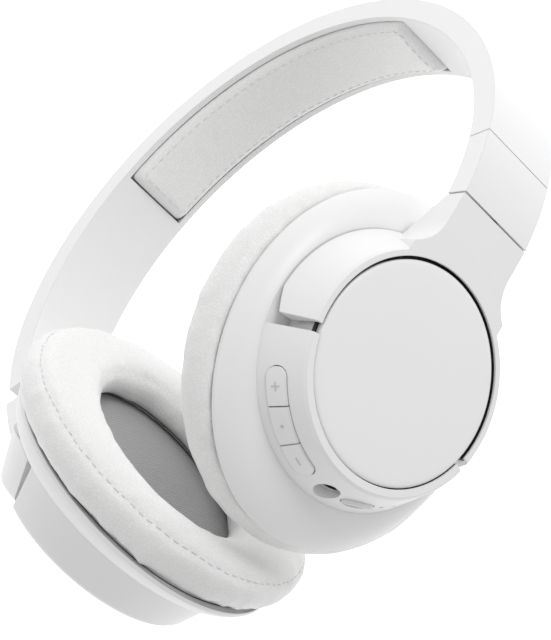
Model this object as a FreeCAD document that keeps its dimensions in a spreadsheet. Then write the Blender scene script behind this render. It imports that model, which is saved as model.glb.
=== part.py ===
import FreeCAD, Part
import math
import os

import Sketcher

# Over-ear headphones: a sprung band, two sliding arms, two turning forks and two tilting cups.
# Millimetres. +Z is up, +X is the wearer's left-to-right line, -Y is the front.
# The origin is where the pad rests on the crown of the head.

VEC = FreeCAD.Vector
doc = FreeCAD.newDocument("over_ear_headphones")
sheet = doc.addObject("Spreadsheet::Sheet", "Sizes")

SIZES = {
    "crown_radius": (77.0, "outside of the band over the head"),
    "crown_sweep": (77.0, "angle from the top to where the band tightens"),
    "side_radius": (63.8, "outside of the band beside the head"),
    "band_end": (100.0, "angle where the band stops and the arm starts"),
    "arm_end": (117.2, "angle where the arm stops and the fork starts"),
    "band_width": (23.0, "front to back"),
    "band_thick": (6.0, "band and arm"),
    "pad_sweep": (39.5, "half angle of the head pad"),
    "pad_recess": (3.0, "depth of the pad's seat in the band"),
    "pad_proud": (2.0, "how far the pad stands out of its seat"),
    "pad_rim": (1.6, "band left beside the pad"),
    "spring_thick": (0.8, "steel strip under the pad"),
    "strip_width": (14.0, "sliding strip"),
    "strip_thick": (1.0, "sliding strip"),
    "strip_length": (31.0, "sliding strip"),
    "strip_hold": (5.2, "length of the strip held in the arm"),
    "slide_angle": (89.0, "direction of the slide below the horizontal"),
    "left_extension": (5.0, "how far the left arm is drawn out at rest"),
    "left_swivel": (10.0, "how far the left cup is turned at rest"),
    "left_tilt": (15.0, "how far the left cup is tipped at rest"),
    "joint_gap": (0.5, "visible gap at the turning joint"),
    "shaft_radius": (1.6, "turning shaft"),
    "shaft_length": (16.0, "turning shaft"),
    "running_gap": (0.06, "radial clearance of turning shafts and pins"),
    "cup_lean": (33.8, "cup face from the vertical"),
    "cup_drop": (42.9, "fork joint above the cup's centre"),
    "cup_reach": (4.8, "fork joint outside the cup's centre"),
    "cap_radius": (26.0, "round cap"),
    "cap_face": (8.0, "cap face outside the cup's centre"),
    "cap_thick": (2.4, "round cap"),
    "cap_gap": (0.8, "gap between cap and fork"),
    "ring_wall": (1.7, "wall of the fork at its face"),
    "ring_flare": (4.1, "outside radius at the fork's back less that at its face"),
    "ring_depth": (12.0, "fork, face to back"),
    "tip_angle": (11.0, "how far the fork's tips pass the pivots"),
    "tip_gap": (5.2, "angle between a fork tip and the lower ring"),
    "pin_radius": (1.5, "cup pivot pins"),
    "pin_length": (8.0, "cup pivot pins"),
    "shell_gap": (0.5, "fork back to shell"),
    "seam_depth": (6.4, "back of the fork to the shell's widest edge"),
    "shell_high": (44.0, "half height of the shell at the seam"),
    "shell_wide": (37.6, "half width of the shell at the seam"),
    "drum_wall": (2.2, "wall of the drum under the cap"),
    "cushion_over_high": (0.8, "how far the cushion stands over the shell, in height"),
    "cushion_over_wide": (4.4, "how far the cushion stands over the shell, in width"),
    "cushion_depth": (11.8, "seam to cushion face"),
    "ear_high": (27.5, "half height of the ear opening"),
    "ear_wide": (19.5, "half width of the ear opening"),
    "driver_radius": (20.0, "driver basket"),
    "key_width": (5.0, "control keys, along the cup's axis"),
    "key_place": (0.65, "centre line of the control keys"),
    "key_proud": (0.4, "how far the keys stand out"),
    "key_sweep": (17.0, "angle that one key takes up"),
    "key_start": (213.0, "angle of the first key's outer end"),
    "key_gap": (0.2, "clearance round a key"),
    "mode_angle": (293.0, "oval key"),
    "jack_angle": (276.0, "audio socket"),
    "jack_radius": (1.8, "audio socket bore"),
    "jack_length": (14.0, "audio socket bore"),
    "mic_angle": (309.5, "between the two microphone ports"),
}

row = 1
for name, (value, note) in SIZES.items():
    sheet.set("A%d" % row, name)
    sheet.set("B%d" % row, str(value))
    sheet.set("C%d" % row, note)
    sheet.setAlias("B%d" % row, name)
    row += 1
doc.recompute()


class Dim:
    """A length or angle that carries both its number and its spreadsheet expression."""

    def __init__(self, value, text):
        self.value = value
        self.text = text

    def __add__(self, other):
        other = as_dim(other)
        return Dim(self.value + other.value, "(%s + %s)" % (self.text, other.text))

    def __sub__(self, other):
        other = as_dim(other)
        return Dim(self.value - other.value, "(%s - %s)" % (self.text, other.text))

    def __mul__(self, other):
        other = as_dim(other)
        return Dim(self.value * other.value, "(%s * %s)" % (self.text, other.text))

    def __truediv__(self, other):
        other = as_dim(other)
        return Dim(self.value / other.value, "(%s / %s)" % (self.text, other.text))

    def __neg__(self):
        return Dim(-self.value, "(0 - %s)" % self.text)

    def __radd__(self, other):
        return as_dim(other) + self

    def __rsub__(self, other):
        return as_dim(other) - self

    def __rmul__(self, other):
        return as_dim(other) * self


def as_dim(number):
    if isinstance(number, Dim):
        return number
    return Dim(float(number), repr(float(number)))


def size(name):
    return Dim(float(sheet.get(name)), "Sizes." + name)


def sin(angle):
    angle = as_dim(angle)
    return Dim(math.sin(math.radians(angle.value)), "sin(%s)" % angle.text)


def cos(angle):
    angle = as_dim(angle)
    return Dim(math.cos(math.radians(angle.value)), "cos(%s)" % angle.text)


def root(number):
    return Dim(math.sqrt(number.value), "sqrt(%s)" % number.text)


def bind(item, prop, number):
    """Set a size and keep it tied to the sheet."""
    number = as_dim(number)
    setattr(item, prop, number.value)
    item.setExpression(prop, number.text)


# ---------------------------------------------------------------- sketches

def corner(x, y):
    return as_dim(x), as_dim(y)


def outline(sketch, points, arcs=None):
    """Draw one closed outline. arcs gives the centre, radius and turn (+1 is counter-clockwise)
    of the segments that are not straight, by the number of the point that each starts from."""
    arcs = arcs or {}
    first = sketch.GeometryCount
    count = len(points)
    starts = []
    for k in range(count):
        ax, ay = points[k]
        bx, by = points[(k + 1) % count]
        if k in arcs:
            cx, cy, radius, turn = arcs[k]
            circle = Part.Circle(VEC(cx.value, cy.value, 0), VEC(0, 0, 1), radius.value)
            begin = math.atan2(ay.value - cy.value, ax.value - cx.value)
            end = math.atan2(by.value - cy.value, bx.value - cx.value)
            if turn > 0:
                sketch.addGeometry(Part.ArcOfCircle(circle, begin, end), False)
                starts.append(1)
            else:
                sketch.addGeometry(Part.ArcOfCircle(circle, end, begin), False)
                starts.append(2)
        else:
            line = Part.LineSegment(VEC(ax.value, ay.value, 0), VEC(bx.value, by.value, 0))
            sketch.addGeometry(line, False)
            starts.append(1)
    for k in range(count):
        after = (k + 1) % count
        here = first + k
        sketch.addConstraint(
            Sketcher.Constraint("Coincident", here, 3 - starts[k], first + after, starts[after]))
    for k in range(count):
        for kind, number in zip(("DistanceX", "DistanceY"), points[k]):
            index = sketch.addConstraint(
                Sketcher.Constraint(kind, -1, 1, first + k, starts[k], number.value))
            sketch.setExpression("Constraints[%d]" % index, number.text)
        if k in arcs:
            radius = arcs[k][2]
            index = sketch.addConstraint(Sketcher.Constraint("Radius", first + k, radius.value))
            sketch.setExpression("Constraints[%d]" % index, radius.text)


def ring_hole(sketch, x, y, radius):
    """Draw one circle."""
    index = sketch.addGeometry(Part.Circle(VEC(x.value, y.value, 0), VEC(0, 0, 1), radius.value))
    for kind, number in (("DistanceX", x), ("DistanceY", y)):
        row_index = sketch.addConstraint(Sketcher.Constraint(kind, -1, 1, index, 3, number.value))
        sketch.setExpression("Constraints[%d]" % row_index, number.text)
    row_index = sketch.addConstraint(Sketcher.Constraint("Radius", index, radius.value))
    sketch.setExpression("Constraints[%d]" % row_index, radius.text)


def new_body(label):
    body = doc.addObject("PartDesign::Body", label)
    body.Label = label
    return body


def body_sketch(body, name, role):
    sketch = body.newObject("Sketcher::SketchObject", name)
    plane = [item for item in body.Origin.OriginFeatures if item.Role == role][0]
    sketch.AttachmentSupport = [(plane, "")]
    sketch.MapMode = "FlatFace"
    return sketch


def extrude(body, kind, name, sketch, length):
    """Pad or pocket a sketch evenly to both sides of its plane."""
    feature = body.newObject("PartDesign::" + kind, name)
    feature.Profile = sketch
    feature.SideType = "Symmetric"
    bind(feature, "Length", length)
    sketch.Visibility = False
    doc.recompute()
    return feature


def turn_about(body, kind, name, sketch, axis, angle):
    """Revolve or groove a sketch evenly to both sides of its plane."""
    feature = body.newObject("PartDesign::" + kind, name)
    feature.Profile = sketch
    feature.ReferenceAxis = (sketch, [axis])
    feature.Midplane = True
    bind(feature, "Angle", angle)
    doc.recompute()
    return feature


# ---------------------------------------------------------------- primitives

def frame(origin, x_axis, z_axis):
    """Placement whose local X and Z lie along the two given directions."""
    y_axis = z_axis.cross(x_axis)
    return FreeCAD.Placement(FreeCAD.Matrix(
        x_axis.x, y_axis.x, z_axis.x, origin.x,
        x_axis.y, y_axis.y, z_axis.y, origin.y,
        x_axis.z, y_axis.z, z_axis.z, origin.z,
        0, 0, 0, 1))


X_AXIS, Y_AXIS, Z_AXIS = VEC(1, 0, 0), VEC(0, 1, 0), VEC(0, 0, 1)


def rod(name, radius, length, start, direction=X_AXIS):
    """A cylinder from start along direction."""
    item = doc.addObject("Part::Cylinder", name)
    bind(item, "Radius", radius)
    bind(item, "Height", length)
    item.Placement = FreeCAD.Placement(start, FreeCAD.Rotation(Z_AXIS, direction))
    return item


def axial(name, radius, low, high):
    """A cylinder on the cup's axis between two stations."""
    return rod(name, radius, as_dim(high) - low, VEC(as_dim(low).value, 0, 0))


def oval(name, station, high, wide):
    """An ellipse across the cup's axis: high along Z, wide along Y."""
    item = doc.addObject("Part::Ellipse", name)
    bind(item, "MajorRadius", high)
    bind(item, "MinorRadius", wide)
    item.Placement = frame(VEC(as_dim(station).value, 0, 0), Z_AXIS, X_AXIS)
    return item


def loft(name, sections, ruled):
    item = doc.addObject("Part::Loft", name)
    item.Sections = sections
    item.Solid = True
    item.Ruled = ruled
    return item


def oval_prism(name, high, wide, low, top):
    return loft(name, [oval(name + "_a", low, high, wide), oval(name + "_b", top, high, wide)], True)


def fuse(name, shapes):
    item = doc.addObject("Part::MultiFuse", name)
    item.Shapes = shapes
    return item


def cut(name, base, tool):
    item = doc.addObject("Part::Cut", name)
    item.Base = base
    item.Tool = tool
    return item


def group(name, shapes):
    item = doc.addObject("Part::Compound", name)
    item.Links = shapes
    return item


def block(name, length, width, height, centre, turned=None):
    """A box about its centre, turned by a rotation if one is given."""
    item = doc.addObject("Part::Box", name)
    bind(item, "Length", length)
    bind(item, "Width", width)
    bind(item, "Height", height)
    half = VEC(item.Length.Value, item.Width.Value, item.Height.Value) * -0.5
    turned = turned or FreeCAD.Rotation()
    item.Placement = FreeCAD.Placement(centre + turned.multVec(half), turned)
    return item


nodes = []


def keep(item, label, placement=None):
    """Name a finished piece and put it in its place in the assembly."""
    item.Label = label
    if placement is not None:
        item.Placement = placement.multiply(item.Placement)
    nodes.append(item)
    return item


# ---------------------------------------------------------------- the band's line

top = size("band_thick") + size("pad_proud")
crown_z = top - size("crown_radius")
side_x = (size("crown_radius") - size("side_radius")) * sin(size("crown_sweep"))
side_z = crown_z + (size("crown_radius") - size("side_radius")) * cos(size("crown_sweep"))


def crown_point(depth, angle):
    """Point on the crown arc, depth inside the band's outer face."""
    reach = size("crown_radius") - depth
    return reach * sin(angle), crown_z + reach * cos(angle)


def side_point(depth, angle):
    """Point on the right side arc, depth inside the band's outer face."""
    reach = size("side_radius") - depth
    return side_x + reach * sin(angle), side_z + reach * cos(angle)


def left_of(point):
    return -point[0], point[1]


def to_vector(point, y=0.0):
    return VEC(point[0].value, y, point[1].value)


def band_sector(sketch, outer, inner, half_angle):
    """Outline of a piece that follows the crown between two depths."""
    far = crown_point(outer, half_angle)
    near = crown_point(inner, half_angle)
    centre = as_dim(0.0)
    outline(sketch, [far, left_of(far), left_of(near), near],
            {0: (centre, crown_z, size("crown_radius") - outer, 1),
             2: (centre, crown_z, size("crown_radius") - inner, -1)})


# The turning joint, and the directions along and out of the arm there.
joint = to_vector(side_point(size("band_thick") / 2, size("arm_end")))
arm_turn = math.radians(size("arm_end").value)
arm_up = VEC(-math.cos(arm_turn), 0, math.sin(arm_turn))
slide_turn = math.radians(size("slide_angle").value)
slide_down = VEC(math.cos(slide_turn), 0, -math.sin(slide_turn))
lean = math.radians(size("cup_lean").value)
cup_out = VEC(math.cos(lean), 0, -math.sin(lean))
cup_up = VEC(math.sin(lean), 0, math.cos(lean))
pivot = joint - cup_out * size("cup_reach").value - cup_up * size("cup_drop").value

# ---------------------------------------------------------------- band

shell = new_body("shell_blank")
shape = body_sketch(shell, "band_outline", "XZ_Plane")
thick = size("band_thick")
sweep = size("crown_sweep")
end = size("band_end")
outer_side, outer_top = side_point(0, end), side_point(0, sweep)
inner_side, inner_top = side_point(thick, end), side_point(thick, sweep)
crown_inner = size("crown_radius") - thick
side_inner = size("side_radius") - thick
zero = as_dim(0.0)
outline(shape,
        [outer_side, outer_top, left_of(outer_top), left_of(outer_side),
         left_of(inner_side), left_of(inner_top), inner_top, inner_side],
        {0: (side_x, side_z, size("side_radius"), 1),
         1: (zero, crown_z, size("crown_radius"), 1),
         2: (-side_x, side_z, size("side_radius"), 1),
         4: (-side_x, side_z, side_inner, -1),
         5: (zero, crown_z, crown_inner, -1),
         6: (side_x, side_z, side_inner, -1)})
extrude(shell, "Pad", "band_pad", shape, size("band_width"))

seat = body_sketch(shell, "pad_seat_outline", "XZ_Plane")
band_sector(seat, thick - size("pad_recess"), thick + 4.0, size("pad_sweep") + 0.2)
extrude(shell, "Pocket", "pad_seat", seat, size("band_width") - size("pad_rim") * 2)

# The slot for each sliding strip is straight, so it lies along a chord of the side arc.
chord = side_point(thick / 2 + 0.8, 90.0)
along = (cos(size("slide_angle")), -sin(size("slide_angle")))
across = (sin(size("slide_angle")), cos(size("slide_angle")))
strip_low = side_point(thick / 2, end)[1] - size("strip_hold")
strip_top = strip_low + size("strip_length")


def strip_corner(height, offset):
    """Corner of the strip's side view at a height, offset outwards from its middle."""
    run = (chord[1] - height) / sin(size("slide_angle"))
    return (chord[0] + along[0] * run + across[0] * offset,
            chord[1] + along[1] * run + across[1] * offset)


def strip_outline(sketch, low, high, thickness, mirrored=False):
    half = thickness / 2
    points = [strip_corner(low, half), strip_corner(high, half),
              strip_corner(high, -half), strip_corner(low, -half)]
    if mirrored:
        points = [left_of(point) for point in reversed(points)]
    outline(sketch, points)


slots = body_sketch(shell, "slot_outline", "XZ_Plane")
strip_outline(slots, strip_low - 12.0, strip_top + 1.0, size("strip_thick") + 0.5)
strip_outline(slots, strip_low - 12.0, strip_top + 1.0, size("strip_thick") + 0.5, True)
extrude(shell, "Pocket", "strip_slots", slots, size("strip_width") + 0.4)

rivet_angle = size("pad_sweep") - 6.0
rivet_depth = size("pad_recess")
rivet_spread = size("band_width") / 4


def rivets(name, radius, depth_low, depth_high):
    """Four short rods square to the crown, near the pad's ends."""
    rods = []
    for side in (-1, 1):
        direction = VEC(side * sin(rivet_angle).value, 0, cos(rivet_angle).value)
        start = crown_point(depth_low, rivet_angle)
        for spread in (-1, 1):
            place = VEC(side * start[0].value, spread * rivet_spread.value, start[1].value)
            rods.append(rod("%s_%d" % (name, len(rods)), radius,
                            as_dim(depth_low) - depth_high, place, direction))
    return rods


inner_face = thick - size("pad_recess")
keep(cut("shell_with_holes", shell,
         group("rivet_holes", rivets("rivet_hole", 1.0, inner_face + 0.4, inner_face - 1.8))),
     "headband_shell")

spring = new_body("spring_blank")
shape = body_sketch(spring, "spring_outline", "XZ_Plane")
spring_inner = inner_face + size("spring_thick")
band_sector(shape, inner_face, spring_inner, size("pad_sweep") - 1.0)
extrude(spring, "Pad", "spring_pad", shape, size("band_width") - size("pad_rim") * 2 - 1.0)
keep(cut("spring_with_holes", spring,
         group("spring_holes", rivets("spring_hole", 1.0, spring_inner + 0.4, inner_face - 0.4))),
     "headband_spring")

keep(fuse("rivets", rivets("rivet_shank", 1.0, spring_inner + 0.1, inner_face - 1.6)
          + rivets("rivet_head", 2.0, spring_inner + 0.44, spring_inner + 0.04)), "band_rivets")

head_pad = new_body("headband_pad")
shape = body_sketch(head_pad, "pad_outline", "XZ_Plane")
band_sector(shape, spring_inner + 0.6, thick + size("pad_proud"), size("pad_sweep"))
extrude(head_pad, "Pad", "pad_solid", shape, size("band_width") - size("pad_rim") * 2 - 0.4)
keep(head_pad, "headband_pad")

# ---------------------------------------------------------------- places of the two sides

half_turn = FreeCAD.Placement(VEC(0, 0, 0), FreeCAD.Rotation(Z_AXIS, 180))


def about(point, axis, degrees):
    """Placement that turns things about an axis through a point."""
    rotation = FreeCAD.Rotation(axis, degrees)
    return FreeCAD.Placement(point - rotation.multVec(point), rotation)


drawn_out = FreeCAD.Placement(slide_down * size("left_extension").value, FreeCAD.Rotation())
turned = about(joint, arm_up, -size("left_swivel").value)
tipped = about(pivot, Y_AXIS, -size("left_tilt").value)
cup_frame = frame(pivot, cup_out, cup_up)

PLACES = {
    "right": {"arm": FreeCAD.Placement(), "fork": cup_frame, "cup": cup_frame},
    "left": {
        "arm": half_turn.multiply(drawn_out),
        "fork": half_turn.multiply(drawn_out).multiply(turned).multiply(cup_frame),
        "cup": half_turn.multiply(drawn_out).multiply(turned).multiply(tipped)
        .multiply(cup_frame),
    },
}

# ---------------------------------------------------------------- arm

line_gap = 0.2


def build_arm(side):
    place = PLACES[side]["arm"]

    arm = new_body("arm_blank_" + side)
    shape = body_sketch(arm, "arm_outline_" + side, "XZ_Plane")
    mid_radius = size("side_radius") - thick / 2
    to_degrees = 180.0 / math.pi
    high = end + as_dim(line_gap * to_degrees) / mid_radius
    low = size("arm_end") - size("joint_gap") / 2 * to_degrees / mid_radius
    outline(shape,
            [side_point(0, low), side_point(0, high),
             side_point(thick, high), side_point(thick, low)],
            {0: (side_x, side_z, size("side_radius"), 1),
             2: (side_x, side_z, side_inner, -1)})
    extrude(arm, "Pad", "arm_pad_" + side, shape, size("band_width"))
    hold = body_sketch(arm, "hold_outline_" + side, "XZ_Plane")
    strip_outline(hold, strip_low, strip_top, size("strip_thick"))
    extrude(arm, "Pocket", "strip_hold_" + side, hold, size("strip_width"))
    bore = rod("shaft_hole_" + side, size("shaft_radius"), size("shaft_length") / 2, joint, arm_up)
    keep(cut("arm_cut_" + side, arm, bore), "arm_" + side, place)

    strip = new_body("slider_strip_" + side)
    shape = body_sketch(strip, "strip_outline_" + side, "XZ_Plane")
    strip_outline(shape, strip_low, strip_top, size("strip_thick"))
    extrude(strip, "Pad", "strip_pad_" + side, shape, size("strip_width"))
    keep(strip, "slider_strip_" + side, place)

    shaft_low = joint - arm_up * (size("shaft_length").value / 2)
    keep(rod("shaft_" + side, size("shaft_radius"), size("shaft_length"), shaft_low, arm_up),
         "swivel_shaft_" + side, place)

    washer = cut("washer_cut_" + side,
                 rod("washer_disc_" + side, 2.8, 0.3, joint - arm_up * 0.1, arm_up),
                 rod("washer_hole_" + side, size("shaft_radius"), 1.0,
                     joint - arm_up * 0.5, arm_up))
    keep(washer, "swivel_washer_" + side, place)


# ---------------------------------------------------------------- fork

cap_front = size("cap_face")
ring_base = cap_front - size("ring_depth")
fork_hole = size("cap_radius") + size("cap_gap")
cap_back = cap_front - size("cap_thick")
ring_front = fork_hole + size("ring_wall")
ring_back = ring_front + size("ring_flare")
taper = size("ring_flare") / size("ring_depth")
edge = as_dim(0.8)


def ring_outer(station):
    """Outer radius of the fork and of the lower ring at a station on the cup's axis."""
    return ring_front + taper * (cap_front - station)


def build_fork(side):
    place = PLACES[side]["fork"]
    bend = math.radians(size("cup_lean").value - size("arm_end").value + 90.0)
    up = VEC(-math.sin(bend), 0, math.cos(bend))
    out = VEC(math.cos(bend), 0, math.sin(bend))
    reach, drop = size("cup_reach"), size("cup_drop")
    bend_angle = size("cup_lean") - size("arm_end") + 90.0
    half = thick / 2
    face_x = reach + sin(bend_angle) * size("joint_gap") / 2
    face_z = drop - cos(bend_angle) * size("joint_gap") / 2
    front = (face_x + cos(bend_angle) * half, face_z + sin(bend_angle) * half)
    back = (face_x - cos(bend_angle) * half, face_z - sin(bend_angle) * half)

    stem = new_body("stem_" + side)
    # Front view: straight sides that flare into the ring.
    view = body_sketch(stem, "stem_front_" + side, "YZ_Plane")
    flare = as_dim(11.0)
    half_width = size("band_width") / 2
    ring_mid = ring_outer(2.0)
    flare_y = half_width + flare
    flare_z = root((ring_mid + flare) * (ring_mid + flare) - flare_y * flare_y)
    share = ring_mid / (ring_mid + flare)
    touch = (flare_y * share, flare_z * share)
    low = as_dim(20.0)
    outline(view,
            [(half_width, drop + 6.0), (-half_width, drop + 6.0), (-half_width, flare_z),
             (-touch[0], touch[1]), (-touch[0], low), (touch[0], low), touch,
             (half_width, flare_z)],
            {2: (-flare_y, flare_z, flare, -1), 6: (flare_y, flare_z, flare, -1)})
    extrude(stem, "Pad", "stem_pad_" + side, view, 40.0)
    # Side view: everything in front of, behind and above the stem is taken away.
    trim = body_sketch(stem, "stem_side_" + side, "XZ_Plane")
    belly = ring_outer(ring_base)
    outline(trim,
            [corner(30.0, 10.0), corner(30.0, 60.0), corner(-30.0, 60.0), corner(-30.0, 10.0),
             (ring_base, as_dim(10.0)), (ring_base, belly), back, front,
             (cap_front, drop - 10.0), (cap_front, as_dim(10.0))])
    extrude(stem, "Pocket", "stem_trim_" + side, trim, 80.0)

    ring = new_body("ring_" + side)
    shape = body_sketch(ring, "ring_section_" + side, "XZ_Plane")
    outline(shape,
            [(ring_base, fork_hole + 0.6), (cap_back - 0.2, fork_hole + 0.6),
             (cap_back - 0.2, fork_hole), (cap_front, fork_hole),
             (cap_front, ring_front - edge * 0.4),
             (cap_front - edge, ring_outer(cap_front - edge)), (ring_base, belly)])
    turn_about(ring, "Revolution", "ring_turn_" + side, shape, "H_Axis",
               180.0 + size("tip_angle") * 2)

    # The tips are relieved below the pivots so that the cup can tip.
    relief = new_body("relief_" + side)
    shape = body_sketch(relief, "relief_outline_" + side, "XZ_Plane")
    outline(shape,
            [(ring_base - 5.0, as_dim(0.5)), (ring_base - 5.0, as_dim(-14.0)),
             (ring_base + 4.6, as_dim(-14.0)), (ring_base - 0.1, as_dim(0.5))])
    extrude(relief, "Pad", "relief_pad_" + side, shape, 90.0)

    holes = [axial("drum_room_" + side, fork_hole + 0.6, ring_base - 5.0, cap_back - 0.2),
             axial("cap_room_" + side, fork_hole, ring_base - 5.0, cap_front + 5.0),
             relief,
             rod("swivel_bore_" + side, size("shaft_radius") + size("running_gap"),
                 size("shaft_length") / 2 + 0.4, VEC(reach.value, 0, drop.value) + up * 0.2,
                 up * -1.0)]
    pin_end = size("cap_radius") - size("drum_wall") - 1.4 + size("pin_length")
    for sign in (-1, 1):
        holes.append(rod("pin_seat_%s_%d" % (side, sign + 1), size("pin_radius"), pin_end,
                         VEC(0, 0, 0), VEC(0, sign, 0)))
    keep(cut("fork_cut_" + side, fuse("fork_blank_" + side, [stem, ring]),
             fuse("fork_holes_" + side, holes)), "fork_" + side, place)

    pins = []
    for sign in (-1, 1):
        start = VEC(0, sign * (pin_end - size("pin_length")).value, 0)
        pins.append(rod("pin_%s_%d" % (side, sign + 1), size("pin_radius"),
                        size("pin_length"), start, VEC(0, sign, 0)))
    keep(group("pivot_pins_" + side, pins), "pivot_pins_" + side, place)


# ---------------------------------------------------------------- cup

shell_front = ring_base - size("shell_gap")
seam = ring_base - size("seam_depth")
shell_back = seam - 1.0
drum_inner = size("cap_radius") - size("drum_wall")
baffle_top = shell_back + 2.0
screw_high, screw_wide = 0.80, 0.72
cushion_high = size("shell_high") + size("cushion_over_high")
cushion_wide = size("shell_wide") + size("cushion_over_wide")


def radial(angle):
    """Direction out of the cup's rim; 0 is +Y and 90 is up."""
    turn = math.radians(as_dim(angle).value)
    return VEC(0, math.cos(turn), math.sin(turn))


def rim_rod(name, radius, inner, outer, angle, station):
    """A rod square to the cup's axis, between two radii."""
    direction = radial(angle)
    start = VEC(as_dim(station).value, 0, 0) + direction * as_dim(inner).value
    return rod(name, radius, as_dim(outer) - inner, start, direction)


def key_sector(name, low, high, inner, proud, angle, degrees):
    """A curved block on the rim, following the taper of the lower ring."""
    body = new_body(name)
    shape = body_sketch(body, name + "_section", "XZ_Plane")
    outline(shape, [(low, inner), (high, inner), (high, ring_outer(high) + proud),
                    (low, ring_outer(low) + proud)])
    turn_about(body, "Revolution", name + "_turn", shape, "H_Axis", degrees)
    body.Placement = FreeCAD.Placement(
        VEC(0, 0, 0), FreeCAD.Rotation(X_AXIS, as_dim(angle).value - 90.0))
    return body


KEY_NAMES = ["volume_up_key", "play_key", "volume_down_key"]
key_low = size("key_place") - size("key_width") / 2
key_high = size("key_place") + size("key_width") / 2
key_inner = ring_outer(key_high) - 2.3
key_round = size("key_width") / 2
round_degrees = key_round * 180.0 / math.pi / ring_outer(size("key_place"))


def rim_oval(name, half_long, half_wide, inner, outer, angle, station):
    """An oval block square to the cup's axis, long way round the rim."""
    direction = radial(angle)
    tangent = radial(as_dim(angle).value + 90.0)
    ends = []
    for number, distance in enumerate((inner, outer)):
        item = doc.addObject("Part::Ellipse", "%s_%d" % (name, number))
        bind(item, "MajorRadius", half_long)
        bind(item, "MinorRadius", half_wide)
        centre = VEC(as_dim(station).value, 0, 0) + direction * as_dim(distance).value
        item.Placement = frame(centre, tangent, direction)
        ends.append(item)
    return loft(name, ends, True)


def key_shape(name, number, clearance, inner, proud):
    """One key of the strip of three, or the pocket round it when clearance is given."""
    middle = size("key_start") + size("key_sweep") * (number + 0.5)
    full = size("key_sweep") - 0.5
    if number == 1:
        return key_sector(name, key_low - clearance, key_high + clearance, inner, proud,
                          middle, full)
    shift = 1.0 if number == 0 else -1.0
    body = key_sector(name + "_body", key_low - clearance, key_high + clearance, inner, proud,
                      middle, full + clearance * 4.0)
    flat = key_sector(name + "_flat", key_low - 1.0, key_high + 1.0, inner - 2.0, proud + 3.0,
                      middle + (round_degrees * 0.5 + 1.0) * shift, full - round_degrees + 2.0)
    centre = middle + (round_degrees - full * 0.5) * shift
    tip = rim_rod(name + "_tip", key_round + clearance, inner - 2.0,
                  ring_outer(size("key_place")) + proud + 3.0, centre, size("key_place"))
    rounded = doc.addObject("Part::Common", name)
    rounded.Base = body
    rounded.Tool = fuse(name + "_mask", [flat, tip])
    return rounded


def build_housing(side):
    """Shell, drum and lower ring in one moulding, with its pockets."""
    place = PLACES[side]["cup"]
    bowl = loft("bowl_" + side, [
        oval("bowl_a_" + side, shell_front, ring_back + 0.4, ring_back + 0.3),
        oval("bowl_b_" + side, shell_front - 1.5, (size("shell_high") + ring_back) * 0.5,
             (size("shell_wide") + ring_back) * 0.5),
        oval("bowl_c_" + side, seam, size("shell_high"), size("shell_wide"))], False)
    rim = oval_prism("rim_" + side, size("shell_high"), size("shell_wide"), shell_back, seam)
    drum = axial("drum_" + side, size("cap_radius") + 0.2, shell_front - 1.0, cap_back - 0.2)
    lower = new_body("lower_ring_" + side)
    shape = body_sketch(lower, "lower_section_" + side, "XZ_Plane")
    back = shell_front - 0.6
    outline(shape,
            [(back, -drum_inner - 0.5), (back, -ring_outer(back)),
             (cap_front - edge, -ring_outer(cap_front - edge)),
             (cap_front, edge * 0.4 - ring_front), (cap_front, -size("cap_radius") - 0.3),
             (cap_back - 0.2, -size("cap_radius") - 0.3), (cap_back - 0.2, -drum_inner - 0.5)])
    turn_about(lower, "Revolution", "lower_turn_" + side, shape, "H_Axis",
               180.0 - (size("tip_angle") + size("tip_gap")) * 2)
    bosses = [rod("boss_%s_%d" % (side, sign + 1), size("pin_radius") + 1.6, 5.0,
                  VEC(0, sign * (drum_inner.value - 3.0), 0), VEC(0, sign, 0))
              for sign in (-1, 1)]
    solid = fuse("housing_solid_" + side, [bowl, rim, drum, lower])
    hollow = fuse("housing_hollow_" + side, [
        axial("cavity_" + side, drum_inner, shell_back - 1.0, cap_back - 2.2),
        oval_prism("baffle_seat_" + side, size("shell_high") - 2.0, size("shell_wide") - 2.0,
                   shell_back - 1.0, baffle_top + 0.2)])
    walls = fuse("housing_walls_" + side, [cut("housing_shell_" + side, solid, hollow)] + bosses)

    pockets = [rod("pin_bore_" + side, size("pin_radius") + size("running_gap"),
                   size("cap_radius") * 2 + 4.0, VEC(0, -size("cap_radius").value - 2.0, 0),
                   Y_AXIS)]
    pockets += screws("screw_hole_" + side, False)
    if side == "right":
        floor = key_inner - 0.8
        gap = size("key_gap")
        for number, key in enumerate(KEY_NAMES):
            pockets.append(key_shape(key + "_pocket", number, gap, floor, as_dim(6.0)))
        strip_middle = size("key_start") + size("key_sweep") * 1.5
        pockets.append(key_sector("strip_pocket", key_low - gap, key_high + gap, floor,
                                  as_dim(6.0), strip_middle, size("key_sweep") * 2))
        pockets.append(rim_oval("mode_pocket", 4.6 + 0.2, 1.9 + 0.2, floor, 40.0,
                                size("mode_angle"), size("key_place")))
        pockets.append(rim_rod("jack_hole", 3.1, 15.0, 40.0, size("jack_angle"), 0.2))
        for shift in (-3.5, 3.5):
            pockets.append(rim_rod("mic_port_%d" % (shift > 0), 0.5, 20.0, 40.0,
                                   size("mic_angle") + shift, size("key_place")))
    keep(cut("housing_" + side, walls, fuse("housing_pockets_" + side, pockets)),
         "cup_housing_" + side, place)


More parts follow.
